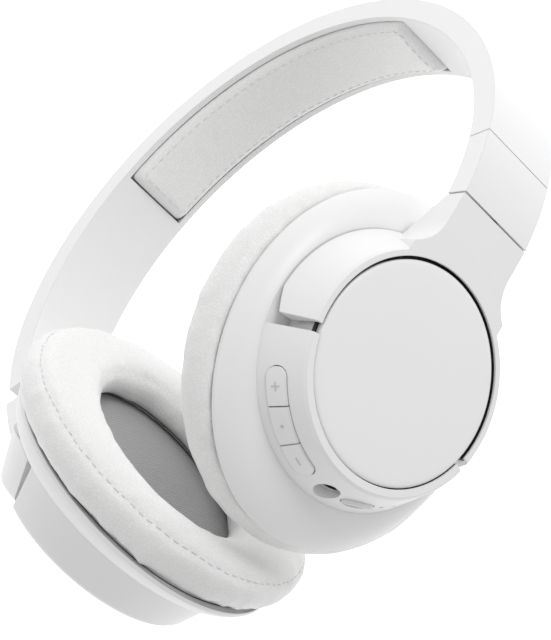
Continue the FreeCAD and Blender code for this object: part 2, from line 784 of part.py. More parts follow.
def screws(name, with_heads):
    """Four screws that hold the baffle; their places follow the shell's oval."""
    rods = []
    for high in (-1, 1):
        for wide in (-1, 1):
            start = VEC(shell_back.value, wide * size("shell_wide").value * screw_wide * 0.82,
                        high * size("shell_high").value * screw_high * 0.80)
            number = len(rods)
            shank = rod("%s_shank_%d" % (name, number), 1.0, 4.6, start, X_AXIS)
            if with_heads:
                head = rod("%s_head_%d" % (name, number), 1.9, 1.0, start, X_AXIS)
                rods.append(fuse("%s_%d" % (name, number), [shank, head]))
            else:
                rods.append(shank)
    return rods


def build_cup(side):
    place = PLACES[side]["cup"]
    build_housing(side)

    cap = new_body("disc_cap_" + side)
    shape = body_sketch(cap, "cap_section_" + side, "XZ_Plane")
    rim = size("cap_radius")
    outline(shape, [(cap_back, zero), (cap_back, rim), (cap_front - 0.5, rim),
                    (cap_front - 0.1, rim - 0.4), (cap_front + 0.2, zero)])
    turn_about(cap, "Revolution", "cap_turn_" + side, shape, "H_Axis", 360.0)
    keep(cap, "disc_cap_" + side, place)

    seat_high, seat_wide = size("shell_high") - 2.2, size("shell_wide") - 2.2
    baffle = cut("baffle_cut_" + side,
                 oval_prism("baffle_plate_" + side, seat_high, seat_wide, shell_back, baffle_top),
                 fuse("baffle_holes_" + side,
                      [axial("driver_hole_" + side, size("driver_radius") + 0.1,
                             shell_back - 1.0, baffle_top + 1.0)]
                      + screws("baffle_screw_" + side, False)
                      + [rod("head_hole_%s_%d" % (side, k), 1.9, 1.0, item.Placement.Base, X_AXIS)
                         for k, item in enumerate(screws("head_place_" + side, False))]))
    keep(baffle, "baffle_" + side, place)
    keep(group("baffle_screws_" + side, screws("screw_" + side, True)),
         "baffle_screws_" + side, place)

    radius = size("driver_radius")
    basket_back = shell_back + 5.0
    basket = cut("basket_cut_" + side,
                 fuse("basket_blank_" + side,
                      [axial("flange_" + side, radius + 1.4, shell_back - 0.6, shell_back),
                       axial("basket_wall_" + side, radius, shell_back, basket_back)]),
                 fuse("basket_room_" + side,
                      [axial("basket_hollow_" + side, radius - 1.4, shell_back - 1.0,
                             basket_back - 1.0),
                       axial("basket_vent_" + side, 9.0, shell_back, basket_back + 1.0)]))
    keep(basket, "driver_basket_" + side, place)
    keep(axial("magnet_" + side, 12.5, basket_back + 0.02, basket_back + 4.0),
         "driver_magnet_" + side, place)
    keep(cut("coil_cut_" + side,
             axial("coil_outer_" + side, 7.2, shell_back + 1.7, basket_back - 0.3),
             axial("coil_inner_" + side, 6.8, shell_back + 1.0, basket_back)),
         "voice_coil_" + side, place)

    dome = new_body("diaphragm_" + side)
    shape = body_sketch(dome, "dome_section_" + side, "XZ_Plane")
    level = shell_back + 0.3
    film = as_dim(0.25)
    outline(shape, [(level - 0.6, zero), (level + 1.0, as_dim(7.2)), (level, radius - 1.6),
                    (level + film, radius - 1.6), (level + film + 1.0, as_dim(7.2)),
                    (level + film - 0.6, zero)])
    turn_about(dome, "Revolution", "dome_turn_" + side, shape, "H_Axis", 360.0)
    keep(dome, "diaphragm_" + side, place)

    grille = new_body("driver_grille_" + side)
    shape = body_sketch(grille, "grille_disc_" + side, "YZ_Plane")
    ring_hole(shape, zero, zero, radius + 1.2)
    plate = extrude(grille, "Pad", "grille_pad_" + side, shape, 0.4)
    grille.Tip = plate
    for spread, count in ((6.0, 6), (11.0, 12), (16.0, 18)):
        shape = body_sketch(grille, "grille_hole_%s_%d" % (side, count), "YZ_Plane")
        ring_hole(shape, as_dim(spread), zero, as_dim(1.4))
        hole = extrude(grille, "Pocket", "grille_cut_%s_%d" % (side, count), shape, 2.0)
        pattern = grille.newObject("PartDesign::PolarPattern",
                                   "grille_ring_%s_%d" % (side, count))
        pattern.Originals = [hole]
        pattern.Axis = (shape, ["N_Axis"])
        pattern.Angle = 360.0
        pattern.Occurrences = count
        grille.Tip = pattern
        doc.recompute()
    grille.Placement.Base = VEC(shell_back.value - 0.85, 0, 0)
    keep(grille, "driver_grille_" + side, place)

    frame_low = shell_back - 1.6
    keep(cut("cushion_ring_cut_" + side,
             oval_prism("cushion_ring_blank_" + side, seat_high, seat_wide, frame_low,
                        shell_back - 0.1),
             oval_prism("cushion_ring_hole_" + side, size("ear_high") + 4.5,
                        size("ear_wide") + 5.5, frame_low - 1.0, shell_back + 1.0)),
         "cushion_ring_" + side, place)
    keep(oval_prism("cloth_" + side, size("ear_high") + 4.2, size("ear_wide") + 5.2,
                    frame_low, frame_low + 0.4), "ear_cloth_" + side, place)

    back = shell_back - 0.2
    depth = size("cushion_depth")
    high, wide = cushion_high, cushion_wide
    skin = loft("cushion_skin_" + side, [
        oval("cushion_a_" + side, back, size("shell_high") - 0.1, size("shell_wide") - 0.1),
        oval("cushion_b_" + side, back - depth * 0.3, high - 0.3, wide - 1.8),
        oval("cushion_c_" + side, back - depth * 0.65, high, wide),
        oval("cushion_d_" + side, back - depth * 0.9, high - 2.0, wide - 2.0),
        oval("cushion_e_" + side, back - depth, high - 6.0, wide - 6.0)], False)
    room = fuse("cushion_room_" + side, [
        oval_prism("ear_room_" + side, size("ear_high"), size("ear_wide"),
                   back - depth - 2.0, back + 1.0),
        oval_prism("ring_room_" + side, seat_high + 0.2, seat_wide + 0.2, frame_low - 0.1,
                   back + 1.0)])
    keep(cut("cushion_cut_" + side, skin, room), "ear_cushion_" + side, place)


def build_controls():
    """Everything that only the right cup has."""
    place = PLACES["right"]["cup"]
    for number, key in enumerate(KEY_NAMES):
        item = key_shape(key, number, 0.0, key_inner, size("key_proud"))
        keep(item, key, place)
    outer = ring_outer(size("key_place"))
    keep(rim_oval("mode_key", 4.6, 1.9, key_inner, outer + 0.3, size("mode_angle"),
                  size("key_place")), "mode_key", place)

    mouth = ring_outer(as_dim(0.2)) - 1.6
    bore_floor = mouth - size("jack_length")
    socket = cut("socket_cut",
                 rim_rod("socket_body", 3.0, bore_floor - 1.2, mouth, size("jack_angle"), 0.2),
                 rim_rod("socket_bore", size("jack_radius"), bore_floor, mouth + 1.0,
                         size("jack_angle"), 0.2))
    keep(socket, "audio_socket", place)
    keep(rim_rod("mic_can", 2.6, drum_inner - 1.6, drum_inner - 0.6, size("mic_angle"),
                 size("key_place")), "microphone", place)
    keep(axial("board", 13.2, 1.8, 3.1), "circuit_board", place)


def build_power():
    """Everything that only the left cup has."""
    place = PLACES["left"]["cup"]
    keep(block("battery_block", 3.4, 24.0, 30.0, VEC(1.2, 0, 0)), "battery", place)


for side in ("right", "left"):
    build_arm(side)
    build_fork(side)
    build_cup(side)
build_controls()
build_power()
doc.recompute()

# ---------------------------------------------------------------- checks and files

faults = [item.Label for item in doc.Objects
          if "Invalid" in item.State or "Error" in item.State]
for item in nodes:
    if item.Shape.isNull() or not item.Shape.isValid() or not item.Shape.Solids:
        faults.append(item.Label + " has no sound shape")
if faults:
    raise RuntimeError("not written: " + ", ".join(faults))

os.makedirs("parts", exist_ok=True)
for item in nodes:
    item.Shape.exportStep("parts/%s.step" % item.Label)
print("wrote %d parts" % len(nodes))
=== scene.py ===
import logging
import math
from dataclasses import dataclass
from enum import Enum
from typing import Callable, Dict, Iterable, List, Optional, Sequence, Tuple

import bmesh
import bpy
from mathutils import Matrix, Vector, noise
from mathutils.bvhtree import BVHTree
from mathutils.kdtree import KDTree


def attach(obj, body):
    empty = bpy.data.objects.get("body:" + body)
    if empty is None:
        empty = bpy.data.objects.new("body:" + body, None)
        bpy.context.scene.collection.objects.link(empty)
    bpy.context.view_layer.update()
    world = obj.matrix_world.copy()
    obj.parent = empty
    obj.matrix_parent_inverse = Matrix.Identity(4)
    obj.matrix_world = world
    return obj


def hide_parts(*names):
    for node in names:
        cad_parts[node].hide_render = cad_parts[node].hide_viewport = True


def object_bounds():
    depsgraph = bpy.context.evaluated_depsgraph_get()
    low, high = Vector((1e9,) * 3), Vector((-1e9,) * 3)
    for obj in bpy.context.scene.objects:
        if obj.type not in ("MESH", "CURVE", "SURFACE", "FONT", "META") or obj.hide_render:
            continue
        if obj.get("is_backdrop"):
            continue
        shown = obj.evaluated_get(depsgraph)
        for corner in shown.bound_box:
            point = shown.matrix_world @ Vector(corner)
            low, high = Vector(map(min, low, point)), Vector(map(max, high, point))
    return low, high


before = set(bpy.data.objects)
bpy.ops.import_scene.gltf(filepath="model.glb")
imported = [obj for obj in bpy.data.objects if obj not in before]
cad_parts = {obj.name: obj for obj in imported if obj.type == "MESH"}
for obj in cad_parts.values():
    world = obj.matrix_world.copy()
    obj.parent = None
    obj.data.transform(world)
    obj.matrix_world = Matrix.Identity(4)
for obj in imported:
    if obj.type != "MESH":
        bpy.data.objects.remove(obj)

MM = 0.001
CAD_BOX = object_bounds()
Colour = Tuple[float, float, float]
Point = Tuple[float, float, float]


# ---------------------------------------------------------------- places

class Side(Enum):
    """The two sides of the headphones; the right one carries the keys."""

    RIGHT = "right"
    LEFT = "left"


@dataclass(frozen=True)
class JointSizes:
    """Where the arms and cups hang, in millimetres and degrees."""

    crown_radius: float = 77.0
    crown_depth: float = 8.0
    side_radius: float = 63.8
    crown_sweep: float = 77.0
    arm_end: float = 117.2
    band_thick: float = 6.0
    slide_angle: float = 89.0
    cup_lean: float = 33.8
    cup_reach: float = 4.8
    cup_drop: float = 42.9
    left_extension: float = 5.0
    left_swivel: float = 10.0
    left_tilt: float = 15.0


@dataclass(frozen=True)
class Places:
    """The frames that the pieces are built in."""

    sizes: JointSizes = JointSizes()

    @staticmethod
    def _about(point: Vector, axis: Vector, degrees: float) -> Matrix:
        """Turn about an axis through a point."""
        turn = Matrix.Rotation(math.radians(degrees), 4, axis)
        return Matrix.Translation(point) @ turn @ Matrix.Translation(-point)

    def cup(self, side: Side) -> Matrix:
        """The cup's frame in metres: X out of the cap, Z up the cup, origin between its pins.

        Args:
            side: which cup.

        Returns:
            The matrix from the cup's own millimetres to the object's metres.
        """
        s = self.sizes
        sweep, end = math.radians(s.crown_sweep), math.radians(s.arm_end)
        step = s.crown_radius - s.side_radius
        crown_z = s.crown_depth - s.crown_radius
        reach = s.side_radius - s.band_thick / 2
        joint = Vector((step * math.sin(sweep) + reach * math.sin(end), 0.0,
                        crown_z + step * math.cos(sweep) + reach * math.cos(end)))
        arm_up = Vector((-math.cos(end), 0.0, math.sin(end)))
        lean = math.radians(s.cup_lean)
        out = Vector((math.cos(lean), 0.0, -math.sin(lean)))
        up = Vector((math.sin(lean), 0.0, math.cos(lean)))
        pivot = joint - out * s.cup_reach - up * s.cup_drop
        local = Matrix(((out.x, 0.0, up.x, pivot.x), (out.y, 1.0, up.y, pivot.y),
                        (out.z, 0.0, up.z, pivot.z), (0.0, 0.0, 0.0, 1.0)))
        if side is Side.LEFT:
            slide = math.radians(s.slide_angle)
            down = Vector((math.cos(slide), 0.0, -math.sin(slide))) * s.left_extension
            local = (Matrix.Rotation(math.pi, 4, "Z") @ Matrix.Translation(down)
                     @ self._about(joint, arm_up, -s.left_swivel)
                     @ self._about(pivot, Vector((0.0, 1.0, 0.0)), -s.left_tilt) @ local)
        return Matrix.Scale(MM, 4) @ local

    def crown(self, angle: float, across: float, depth: float) -> Vector:
        """A point by the crown arc.

        Args:
            angle: degrees from the top.
            across: millimetres to the back.
            depth: millimetres inside the band's outer face.

        Returns:
            The point in metres.
        """
        s = self.sizes
        turn = math.radians(angle)
        reach = s.crown_radius - depth
        return Vector((reach * math.sin(turn), across,
                       s.crown_depth - s.crown_radius + reach * math.cos(turn))) * MM


PLACES = Places()


# ---------------------------------------------------------------- shader node groups

def rgba(colour: Colour, share: float = 1.0) -> Tuple[float, ...]:
    """A solid colour for a socket, darkened to a share of itself."""
    return (*(c * share for c in colour), 1.0)


class NodeTree:
    """A thin helper that adds and joins nodes in one tree."""

    def __init__(self, tree: bpy.types.NodeTree) -> None:
        """Work on a shader or geometry tree."""
        self.tree = tree

    def put(self, socket: bpy.types.NodeSocket, value: object) -> None:
        """Join an output to an input socket, or set the input's own value.

        Args:
            socket: the input.
            value: an output socket, or a plain value.
        """
        if isinstance(value, bpy.types.NodeSocket):
            self.tree.links.new(value, socket)
        else:
            socket.default_value = value

    def feed(self, node: bpy.types.Node, **values: object) -> bpy.types.Node:
        """Set a node's properties and inputs.

        Args:
            node: the node.
            values: properties, or inputs named with underscores for their spaces.

        Returns:
            The same node.
        """
        for key, value in values.items():
            if hasattr(node, key):
                setattr(node, key, value)
            else:
                self.put(node.inputs[key.replace("_", " ")], value)
        return node

    def add(self, kind: str, **values: object) -> bpy.types.Node:
        """Add a node of a kind and feed it."""
        return self.feed(self.tree.nodes.new(kind), **values)

    def step(self, kind: str, operation: str, *values: object) -> bpy.types.Node:
        """Add an arithmetic node.

        Args:
            kind: the node's type.
            operation: what it does.
            values: its inputs in order, as sockets or plain values.

        Returns:
            The node.
        """
        node = self.add(kind, operation=operation)
        for socket, value in zip(node.inputs, values):
            self.put(socket, value)
        return node

    def math(self, operation: str, first: object, second: object = 0.0) -> bpy.types.NodeSocket:
        """The result of one step of arithmetic on numbers."""
        return self.step("ShaderNodeMath", operation, first, second).outputs[0]

    def mix(self, factor: object, first: object, second: object) -> bpy.types.NodeSocket:
        """The mix of two colours."""
        return self.add("ShaderNodeMix", data_type="RGBA", Factor=factor, A=first,
                        B=second).outputs["Result"]

    def surface(self) -> bpy.types.NodeSocket:
        """The point being shaded, in the object's own metres."""
        return self.add("ShaderNodeTexCoord").outputs["Object"]


def new_group(name: str, inputs: Sequence[Tuple[str, str, float]],
              outputs: Sequence[Tuple[str, str]]
              ) -> Tuple[NodeTree, bpy.types.Node, bpy.types.Node]:
    """Start a shader node group with named inputs and outputs.

    Args:
        name: the group's name.
        inputs: name, socket type and default of each input.
        outputs: name and socket type of each output.

    Returns:
        The tree helper, its input node and its output node.
    """
    tree = bpy.data.node_groups.new(name, "ShaderNodeTree")
    for label, kind, default in inputs:
        socket = tree.interface.new_socket(label, in_out="INPUT", socket_type=kind)
        if kind == "NodeSocketFloat":
            socket.default_value = default
    for label, kind in outputs:
        tree.interface.new_socket(label, in_out="OUTPUT", socket_type=kind)
    helper = NodeTree(tree)
    return helper, helper.add("NodeGroupInput"), helper.add("NodeGroupOutput")


def moulded_and_shade_group() -> bpy.types.NodeTree:
    """Fine moulded texture: small roughness changes and a light spark-eroded bump, and painted
    shade for hollows and gaps from ambient occlusion.

    Returns:
        The group, which puts out variation, painted shade and normal.
    """
    t, start, end = new_group(
        "MouldedSurfaceAndShade",
        [("Grain Size", "NodeSocketFloat", 2600.0), ("Grain Depth", "NodeSocketFloat", 0.08),
         ("Edge Radius", "NodeSocketFloat", 0.0003)],
        [("Variation", "NodeSocketFloat"), ("Crevice", "NodeSocketFloat"),
         ("Normal", "NodeSocketVector")])
    point = t.surface()
    fine = t.add("ShaderNodeTexNoise", Vector=point, Scale=start.outputs["Grain Size"],
                 Detail=2.0, Roughness=0.6)
    broad = t.add("ShaderNodeTexNoise", Vector=point, Scale=34.0, Detail=3.0, Roughness=0.5)
    edge = t.add("ShaderNodeBevel", samples=6, Radius=start.outputs["Edge Radius"])
    bump = t.add("ShaderNodeBump", Distance=0.00006, Strength=start.outputs["Grain Depth"],
                 Height=fine.outputs["Fac"], Normal=edge.outputs["Normal"])
    shade = t.add("ShaderNodeAmbientOcclusion", samples=8, Distance=0.0022)
    # painted shade: one minus ambient occlusion, high in hollows and gaps
    t.feed(end, Variation=broad.outputs["Fac"], Normal=bump.outputs["Normal"],
           Crevice=t.math("SUBTRACT", 1.0, shade.outputs["AO"]))
    return t.tree


def grain_group() -> bpy.types.NodeTree:
    """Leatherette: pebbled cells, soft creases and a colour mask in the valleys.

    Returns:
        The group, which puts out valley, mottle and normal.
    """
    t, start, end = new_group(
        "LeatherGrain",
        [("Pebble Size", "NodeSocketFloat", 1150.0), ("Depth", "NodeSocketFloat", 0.3),
         ("Crease", "NodeSocketFloat", 0.4)],
        [("Valley", "NodeSocketFloat"), ("Mottle", "NodeSocketFloat"),
         ("Normal", "NodeSocketVector")])
    point = t.surface()
    warp = t.add("ShaderNodeTexNoise", Vector=point, Scale=420.0, Detail=2.0)
    shift = t.step("ShaderNodeVectorMath", "MULTIPLY_ADD", warp.outputs["Color"],
                   (0.0009, 0.0009, 0.0009), point).outputs[0]
    cells = t.add("ShaderNodeTexVoronoi", feature="DISTANCE_TO_EDGE", Vector=shift,
                  Scale=start.outputs["Pebble Size"])
    pebble = t.add("ShaderNodeMapRange", Value=cells.outputs["Distance"],
                   From_Max=0.22).outputs["Result"]
    crease = t.add("ShaderNodeTexNoise", Vector=shift, Scale=130.0, Detail=4.0, Roughness=0.55)
    mottle = t.add("ShaderNodeTexNoise", Vector=point, Scale=40.0, Detail=3.0)
    fine = t.add("ShaderNodeBump", Distance=0.00009, Strength=start.outputs["Depth"],
                 Height=pebble)
    soft = t.add("ShaderNodeBump", Distance=0.0007, Strength=start.outputs["Crease"],
                 Height=crease.outputs["Fac"], Normal=fine.outputs["Normal"])
    t.feed(end, Valley=t.math("SUBTRACT", 1.0, pebble), Mottle=mottle.outputs["Fac"],
           Normal=soft.outputs["Normal"])
    return t.tree


def cup_station_group() -> bpy.types.NodeTree:
    """How far a point is along and away from a cup's axis, in millimetres.

    Returns:
        The group, which puts out station and radius.
    """
    t, start, end = new_group(
        "CupStation",
        [("Origin", "NodeSocketVector", 0.0), ("Axis", "NodeSocketVector", 0.0)],
        [("Station", "NodeSocketFloat"), ("Radius", "NodeSocketFloat")])
    offset = t.step("ShaderNodeVectorMath", "SUBTRACT", t.surface(),
                    start.outputs["Origin"]).outputs[0]
    station = t.step("ShaderNodeVectorMath", "DOT_PRODUCT", offset,
                     start.outputs["Axis"]).outputs["Value"]
    length = t.step("ShaderNodeVectorMath", "LENGTH", offset).outputs["Value"]
    square = t.math("SUBTRACT", t.math("POWER", length, 2.0),
                    t.math("MULTIPLY", station, station))
    radius = t.math("SQRT", t.math("MAXIMUM", square, 0.0))
    t.feed(end, Station=t.math("MULTIPLY", station, 1.0 / MM),
           Radius=t.math("MULTIPLY", radius, 1.0 / MM))
    return t.tree


class Groups:
    """The node groups, each built once."""

    moulded = moulded_and_shade_group()
    grain = grain_group()
    station = cup_station_group()


# ---------------------------------------------------------------- finishes

def start_material(name: str) -> Tuple[NodeTree, bpy.types.Node]:
    """Start a material with one Principled shader.

    Args:
        name: the material's name.

    Returns:
        A helper for its tree, and the shader.
    """
    material = bpy.data.materials.new(name)
    material.use_nodes = True
    helper = NodeTree(material.node_tree)
    return helper, material.node_tree.nodes["Principled BSDF"]


@dataclass(frozen=True)
class BayShade:
    """Painted shade in the space between a cup's cap and drum, in the cup's millimetres: the
    white walls there are painted near-black.
    """

    radius: float = 27.55
    low: float = 4.3
    high: float = 7.4
    # painted shade: the near-black of the walls under the cap
    colour: Colour = (0.02, 0.02, 0.021)

    def paint_shade(self, t: NodeTree, colour: bpy.types.NodeSocket,
               side: Side) -> bpy.types.NodeSocket:
        """Paint shade into a housing: turn its colour black under the cap.

        Args:
            t: the material's tree.
            colour: the housing's own colour.
            side: which cup.

        Returns:
            The colour with painted shade under the cap.
        """
        place = PLACES.cup(side)
        station = t.add("ShaderNodeGroup", node_tree=Groups.station, Origin=place.translation,
                        Axis=(place.to_3x3() @ Vector((1, 0, 0))).normalized())
        near = t.math("LESS_THAN", station.outputs["Radius"], self.radius)
        under = t.math("LESS_THAN", station.outputs["Station"], self.high)
        above = t.math("GREATER_THAN", station.outputs["Station"], self.low)
        mask = t.math("MULTIPLY", t.math("MULTIPLY", near, under), above)
        return t.mix(mask, colour, rgba(self.colour))


@dataclass(frozen=True)
class Plastic:
    """A moulded plastic with softened edges, and painted shade darkening its hollows and gaps.

    The optional side gives that cup's housing painted shade under its cap: the white inner
    walls there are painted black.
    """

    name: str
    colour: Colour
    roughness: float = 0.42
    grain: float = 0.08
    coat: float = 0.0
    edge: float = 0.3
    # how strongly the painted shade darkens hollows and gaps
    crevice_shade: float = 0.35
    bay_shade: Optional[Side] = None

    def make(self) -> bpy.types.Material:
        """Build the plastic.

        Returns:
            The material.
        """
        t, shader = start_material(self.name)
        surface = t.add("ShaderNodeGroup", node_tree=Groups.moulded, Grain_Depth=self.grain,
                        Edge_Radius=self.edge * MM)
        tone = t.mix(surface.outputs["Variation"], rgba(self.colour, 0.985), rgba(self.colour))
        # painted shade: the colour goes towards 45% of itself in hollows and gaps
        shade = t.math("MULTIPLY", surface.outputs["Crevice"], self.crevice_shade)
        colour = t.mix(shade, tone, rgba(self.colour, 0.45))
        # painted shade: black on the housing's white walls under the cap
        if self.bay_shade is not None:
            colour = BayShade().paint_shade(t, colour, self.bay_shade)
        rough = t.add("ShaderNodeMapRange", Value=surface.outputs["Variation"], From_Min=0.3,
                      From_Max=0.7, To_Min=self.roughness - 0.04,
                      To_Max=self.roughness + 0.05)
        t.feed(shader, Base_Color=colour, Roughness=rough.outputs["Result"],
               Coat_Weight=self.coat, Coat_Roughness=0.2, Normal=surface.outputs["Normal"])
        return bpy.data.materials[self.name]


@dataclass(frozen=True)
class Leatherette:
    """Soft coated cloth with a pebbled grain."""

    name: str
    colour: Colour
    roughness: float = 0.5
    depth: float = 0.3
    crease: float = 0.25

    def make(self) -> bpy.types.Material:
        """Build the leatherette.

        Returns:
            The material.
        """
        t, shader = start_material(self.name)
        surface = t.add("ShaderNodeGroup", node_tree=Groups.grain, Depth=self.depth,
                        Crease=self.crease)
        tone = t.mix(surface.outputs["Mottle"], rgba(self.colour, 0.97), rgba(self.colour))
        valley = surface.outputs["Valley"]
        colour = t.mix(t.math("MULTIPLY", valley, 0.5), tone, rgba(self.colour, 0.86))
        rough = t.add("ShaderNodeMapRange", Value=valley, To_Min=self.roughness - 0.05,
                      To_Max=self.roughness + 0.1)
        t.feed(shader, Base_Color=colour, Roughness=rough.outputs["Result"],
               Sheen_Weight=0.12, Sheen_Roughness=0.4, Subsurface_Weight=0.06,
               Subsurface_Radius=(0.002, 0.0018, 0.0016), Normal=surface.outputs["Normal"])
        return bpy.data.materials[self.name]


@dataclass(frozen=True)
class Knit:
    """Open acoustic cloth: rows of small loops over a darker backing, on the piece's own UV."""

    name: str
    thread: Colour
    backing: Colour
    pitch: float = 0.7

    def make(self) -> bpy.types.Material:
        """Build the cloth.

        Returns:
            The material.
        """
        t, shader = start_material(self.name)
        cloth = t.add("ShaderNodeUVMap", uv_map="cloth")
        parts = t.add("ShaderNodeSeparateXYZ", Vector=cloth.outputs["UV"])
        turn = 2.0 * math.pi / self.pitch
        waves = [t.math("SINE", t.math("MULTIPLY", parts.outputs[axis], turn))
                 for axis in ("X", "Y")]
        loops = t.math("ADD", t.math("MULTIPLY", *waves), 1.0)
        height = t.math("MULTIPLY", loops, 0.5)
        bump = t.add("ShaderNodeBump", Distance=0.0002, Strength=0.6, Height=height)
        t.feed(shader, Base_Color=t.mix(height, rgba(self.backing), rgba(self.thread)),
               Normal=bump.outputs["Normal"], Roughness=0.9, Sheen_Weight=0.3)
        return bpy.data.materials[self.name]


@dataclass(frozen=True)
class Metal:
    """Steel or copper with a fine brushed grain along one direction."""

    name: str
    colour: Colour
    roughness: float = 0.3
    stretch: Tuple[float, float, float] = (900.0, 60.0, 900.0)

    def make(self) -> bpy.types.Material:
        """Build the metal.

        Returns:
            The material.
        """
        t, shader = start_material(self.name)
        scaled = t.step("ShaderNodeVectorMath", "MULTIPLY", t.surface(), self.stretch)
        lines = t.add("ShaderNodeTexNoise", Vector=scaled.outputs[0], Scale=2.2,
                      Detail=3.0).outputs["Fac"]
        rough = t.add("ShaderNodeMapRange", Value=lines, To_Min=self.roughness - 0.1,
                      To_Max=self.roughness + 0.15)
        bump = t.add("ShaderNodeBump", Distance=0.00002, Strength=0.4, Height=lines)
        t.feed(shader, Base_Color=rgba(self.colour), Metallic=1.0,
               Roughness=rough.outputs["Result"], Normal=bump.outputs["Normal"])
        return bpy.data.materials[self.name]


class Finish(Enum):
    """Every finish on the object."""

    BAND = Plastic("band_white", (0.86, 0.86, 0.86))
    # the housings carry painted shade under the cap
    HOUSING_RIGHT = Plastic("housing_white_right", (0.86, 0.86, 0.86), bay_shade=Side.RIGHT)
    HOUSING_LEFT = Plastic("housing_white_left", (0.86, 0.86, 0.86), bay_shade=Side.LEFT)
    CAP = Plastic("cap_satin", (0.88, 0.88, 0.88), roughness=0.34, grain=0.04, coat=0.06)
    KEYS = Plastic("keys_satin", (0.86, 0.86, 0.86), roughness=0.4, edge=0.35)
    MARKS = Plastic("key_marks_grey", (0.62, 0.62, 0.63), edge=0.05)
    INNER = Plastic("inner_black", (0.045, 0.045, 0.047), roughness=0.55, grain=0.2)
    # painted shade: grey for the dark line in the seam between shell and cushion
    SEAM = Plastic("seam_shade_grey", (0.42, 0.42, 0.43), roughness=0.6)
    SOCKET = Plastic("socket_dark", (0.03, 0.03, 0.03), roughness=0.25, coat=0.3)
    BOARD = Plastic("board_green", (0.03, 0.14, 0.07), roughness=0.35, coat=0.4)
    BATTERY = Metal("battery_foil", (0.62, 0.62, 0.64), 0.4, (300.0, 300.0, 300.0))
    STEEL = Metal("brushed_steel", (0.58, 0.58, 0.6))
    BLACKENED = Metal("blackened_steel", (0.12, 0.12, 0.12), 0.4)
    COPPER = Metal("enamelled_copper", (0.72, 0.36, 0.2), 0.3)
    FILM = Plastic("diaphragm_film", (0.4, 0.42, 0.45), roughness=0.3, coat=0.3)
    CUSHION = Leatherette("cushion_leatherette", (0.87, 0.87, 0.865))
    HEAD_PAD = Leatherette("pad_leatherette", (0.87, 0.87, 0.865), depth=0.3, crease=0.2)
    THREAD = Leatherette("stitch_thread", (0.74, 0.74, 0.73), roughness=0.6, depth=0.1)
    CLOTH = Knit("ear_cloth_knit", (0.5, 0.5, 0.5), (0.2, 0.2, 0.205))

    def material(self) -> bpy.types.Material:
        """The finish's material, made on first use."""
        return bpy.data.materials.get(self.value.name) or self.value.make()


NODE_FINISHES: Dict[str, Finish] = {
    "headband_shell": Finish.BAND, "headband_spring": Finish.STEEL,
    "band_rivets": Finish.STEEL, "audio_socket": Finish.SOCKET,
    "microphone": Finish.STEEL, "circuit_board": Finish.BOARD, "battery": Finish.BATTERY,
    "volume_up_key": Finish.KEYS, "play_key": Finish.KEYS, "volume_down_key": Finish.KEYS,
    "mode_key": Finish.KEYS,
}
SIDE_FINISHES: Dict[str, Finish] = {
    "arm": Finish.BAND, "slider_strip": Finish.STEEL, "swivel_shaft": Finish.STEEL,
    "swivel_washer": Finish.INNER, "pivot_pins": Finish.STEEL, "disc_cap": Finish.CAP,
    "baffle": Finish.INNER, "baffle_screws": Finish.BLACKENED, "driver_basket": Finish.INNER,
    "driver_magnet": Finish.STEEL, "voice_coil": Finish.COPPER, "diaphragm": Finish.FILM,
    "driver_grille": Finish.BLACKENED, "cushion_ring": Finish.BAND,
}


def dress_nodes() -> None:
    """Give every carried node its finish."""
    for name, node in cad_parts.items():
        stem, _, side = name.rpartition("_")
        finish = NODE_FINISHES.get(name)
        if finish is None and stem in ("fork", "cup_housing"):
            finish = Finish.HOUSING_RIGHT if side == Side.RIGHT.value else Finish.HOUSING_LEFT
        if finish is None:
            finish = SIDE_FINISHES.get(stem, Finish.CUSHION)
        node.data.materials.clear()
        node.data.materials.append(finish.material())


# ---------------------------------------------------------------- mesh building


def mesh_object(name: str, verts: Iterable[Vector], faces: Iterable[Sequence[int]],
                finish: Finish) -> bpy.types.Object:
    """Link a smooth mesh object with one material.

    Args:
        name: the piece's name.
        verts: its points in metres.
        faces: the indices of each face's points.
        finish: its finish.

    Returns:
        The object.
    """
    mesh = bpy.data.meshes.new(name)
    mesh.from_pydata([tuple(v) for v in verts], [], [tuple(f) for f in faces])
    mesh.validate()
    mesh.shade_smooth()
    mesh.materials.append(finish.material())
    obj = bpy.data.objects.new(name, mesh)
    bpy.context.scene.collection.objects.link(obj)
    return obj


def turns(count: int) -> List[float]:
    """Equal angles round a full circle, in radians."""
    return [2 * math.pi * k / count for k in range(count)]


def cup_oval(place: Matrix, station: float, high: float, wide: float,
             count: int) -> List[Vector]:
    """Points on an oval round a cup's axis.

    Args:
        place: the cup's frame.
        station: where along the axis, in millimetres.
        high: half height in millimetres.
        wide: half width in millimetres.
        count: how many points.

    Returns:
        The points in metres.
    """
    return [place @ Vector((station, wide * math.cos(a), high * math.sin(a)))
            for a in turns(count)]


def laid_on(obj: bpy.types.Object, points: Iterable[Vector], lift: float) -> List[Vector]:
    """Move points onto the surface of a piece.

    Args:
        obj: the piece.
        points: points near it.
        lift: how far the result stands off the surface, in millimetres.

    Returns:
        The moved points.
    """
    surface = BVHTree.FromObject(obj, bpy.context.evaluated_depsgraph_get())
    found = [surface.find_nearest(point) for point in points]
    return [spot + normal * lift * MM for spot, normal, _, _ in found]


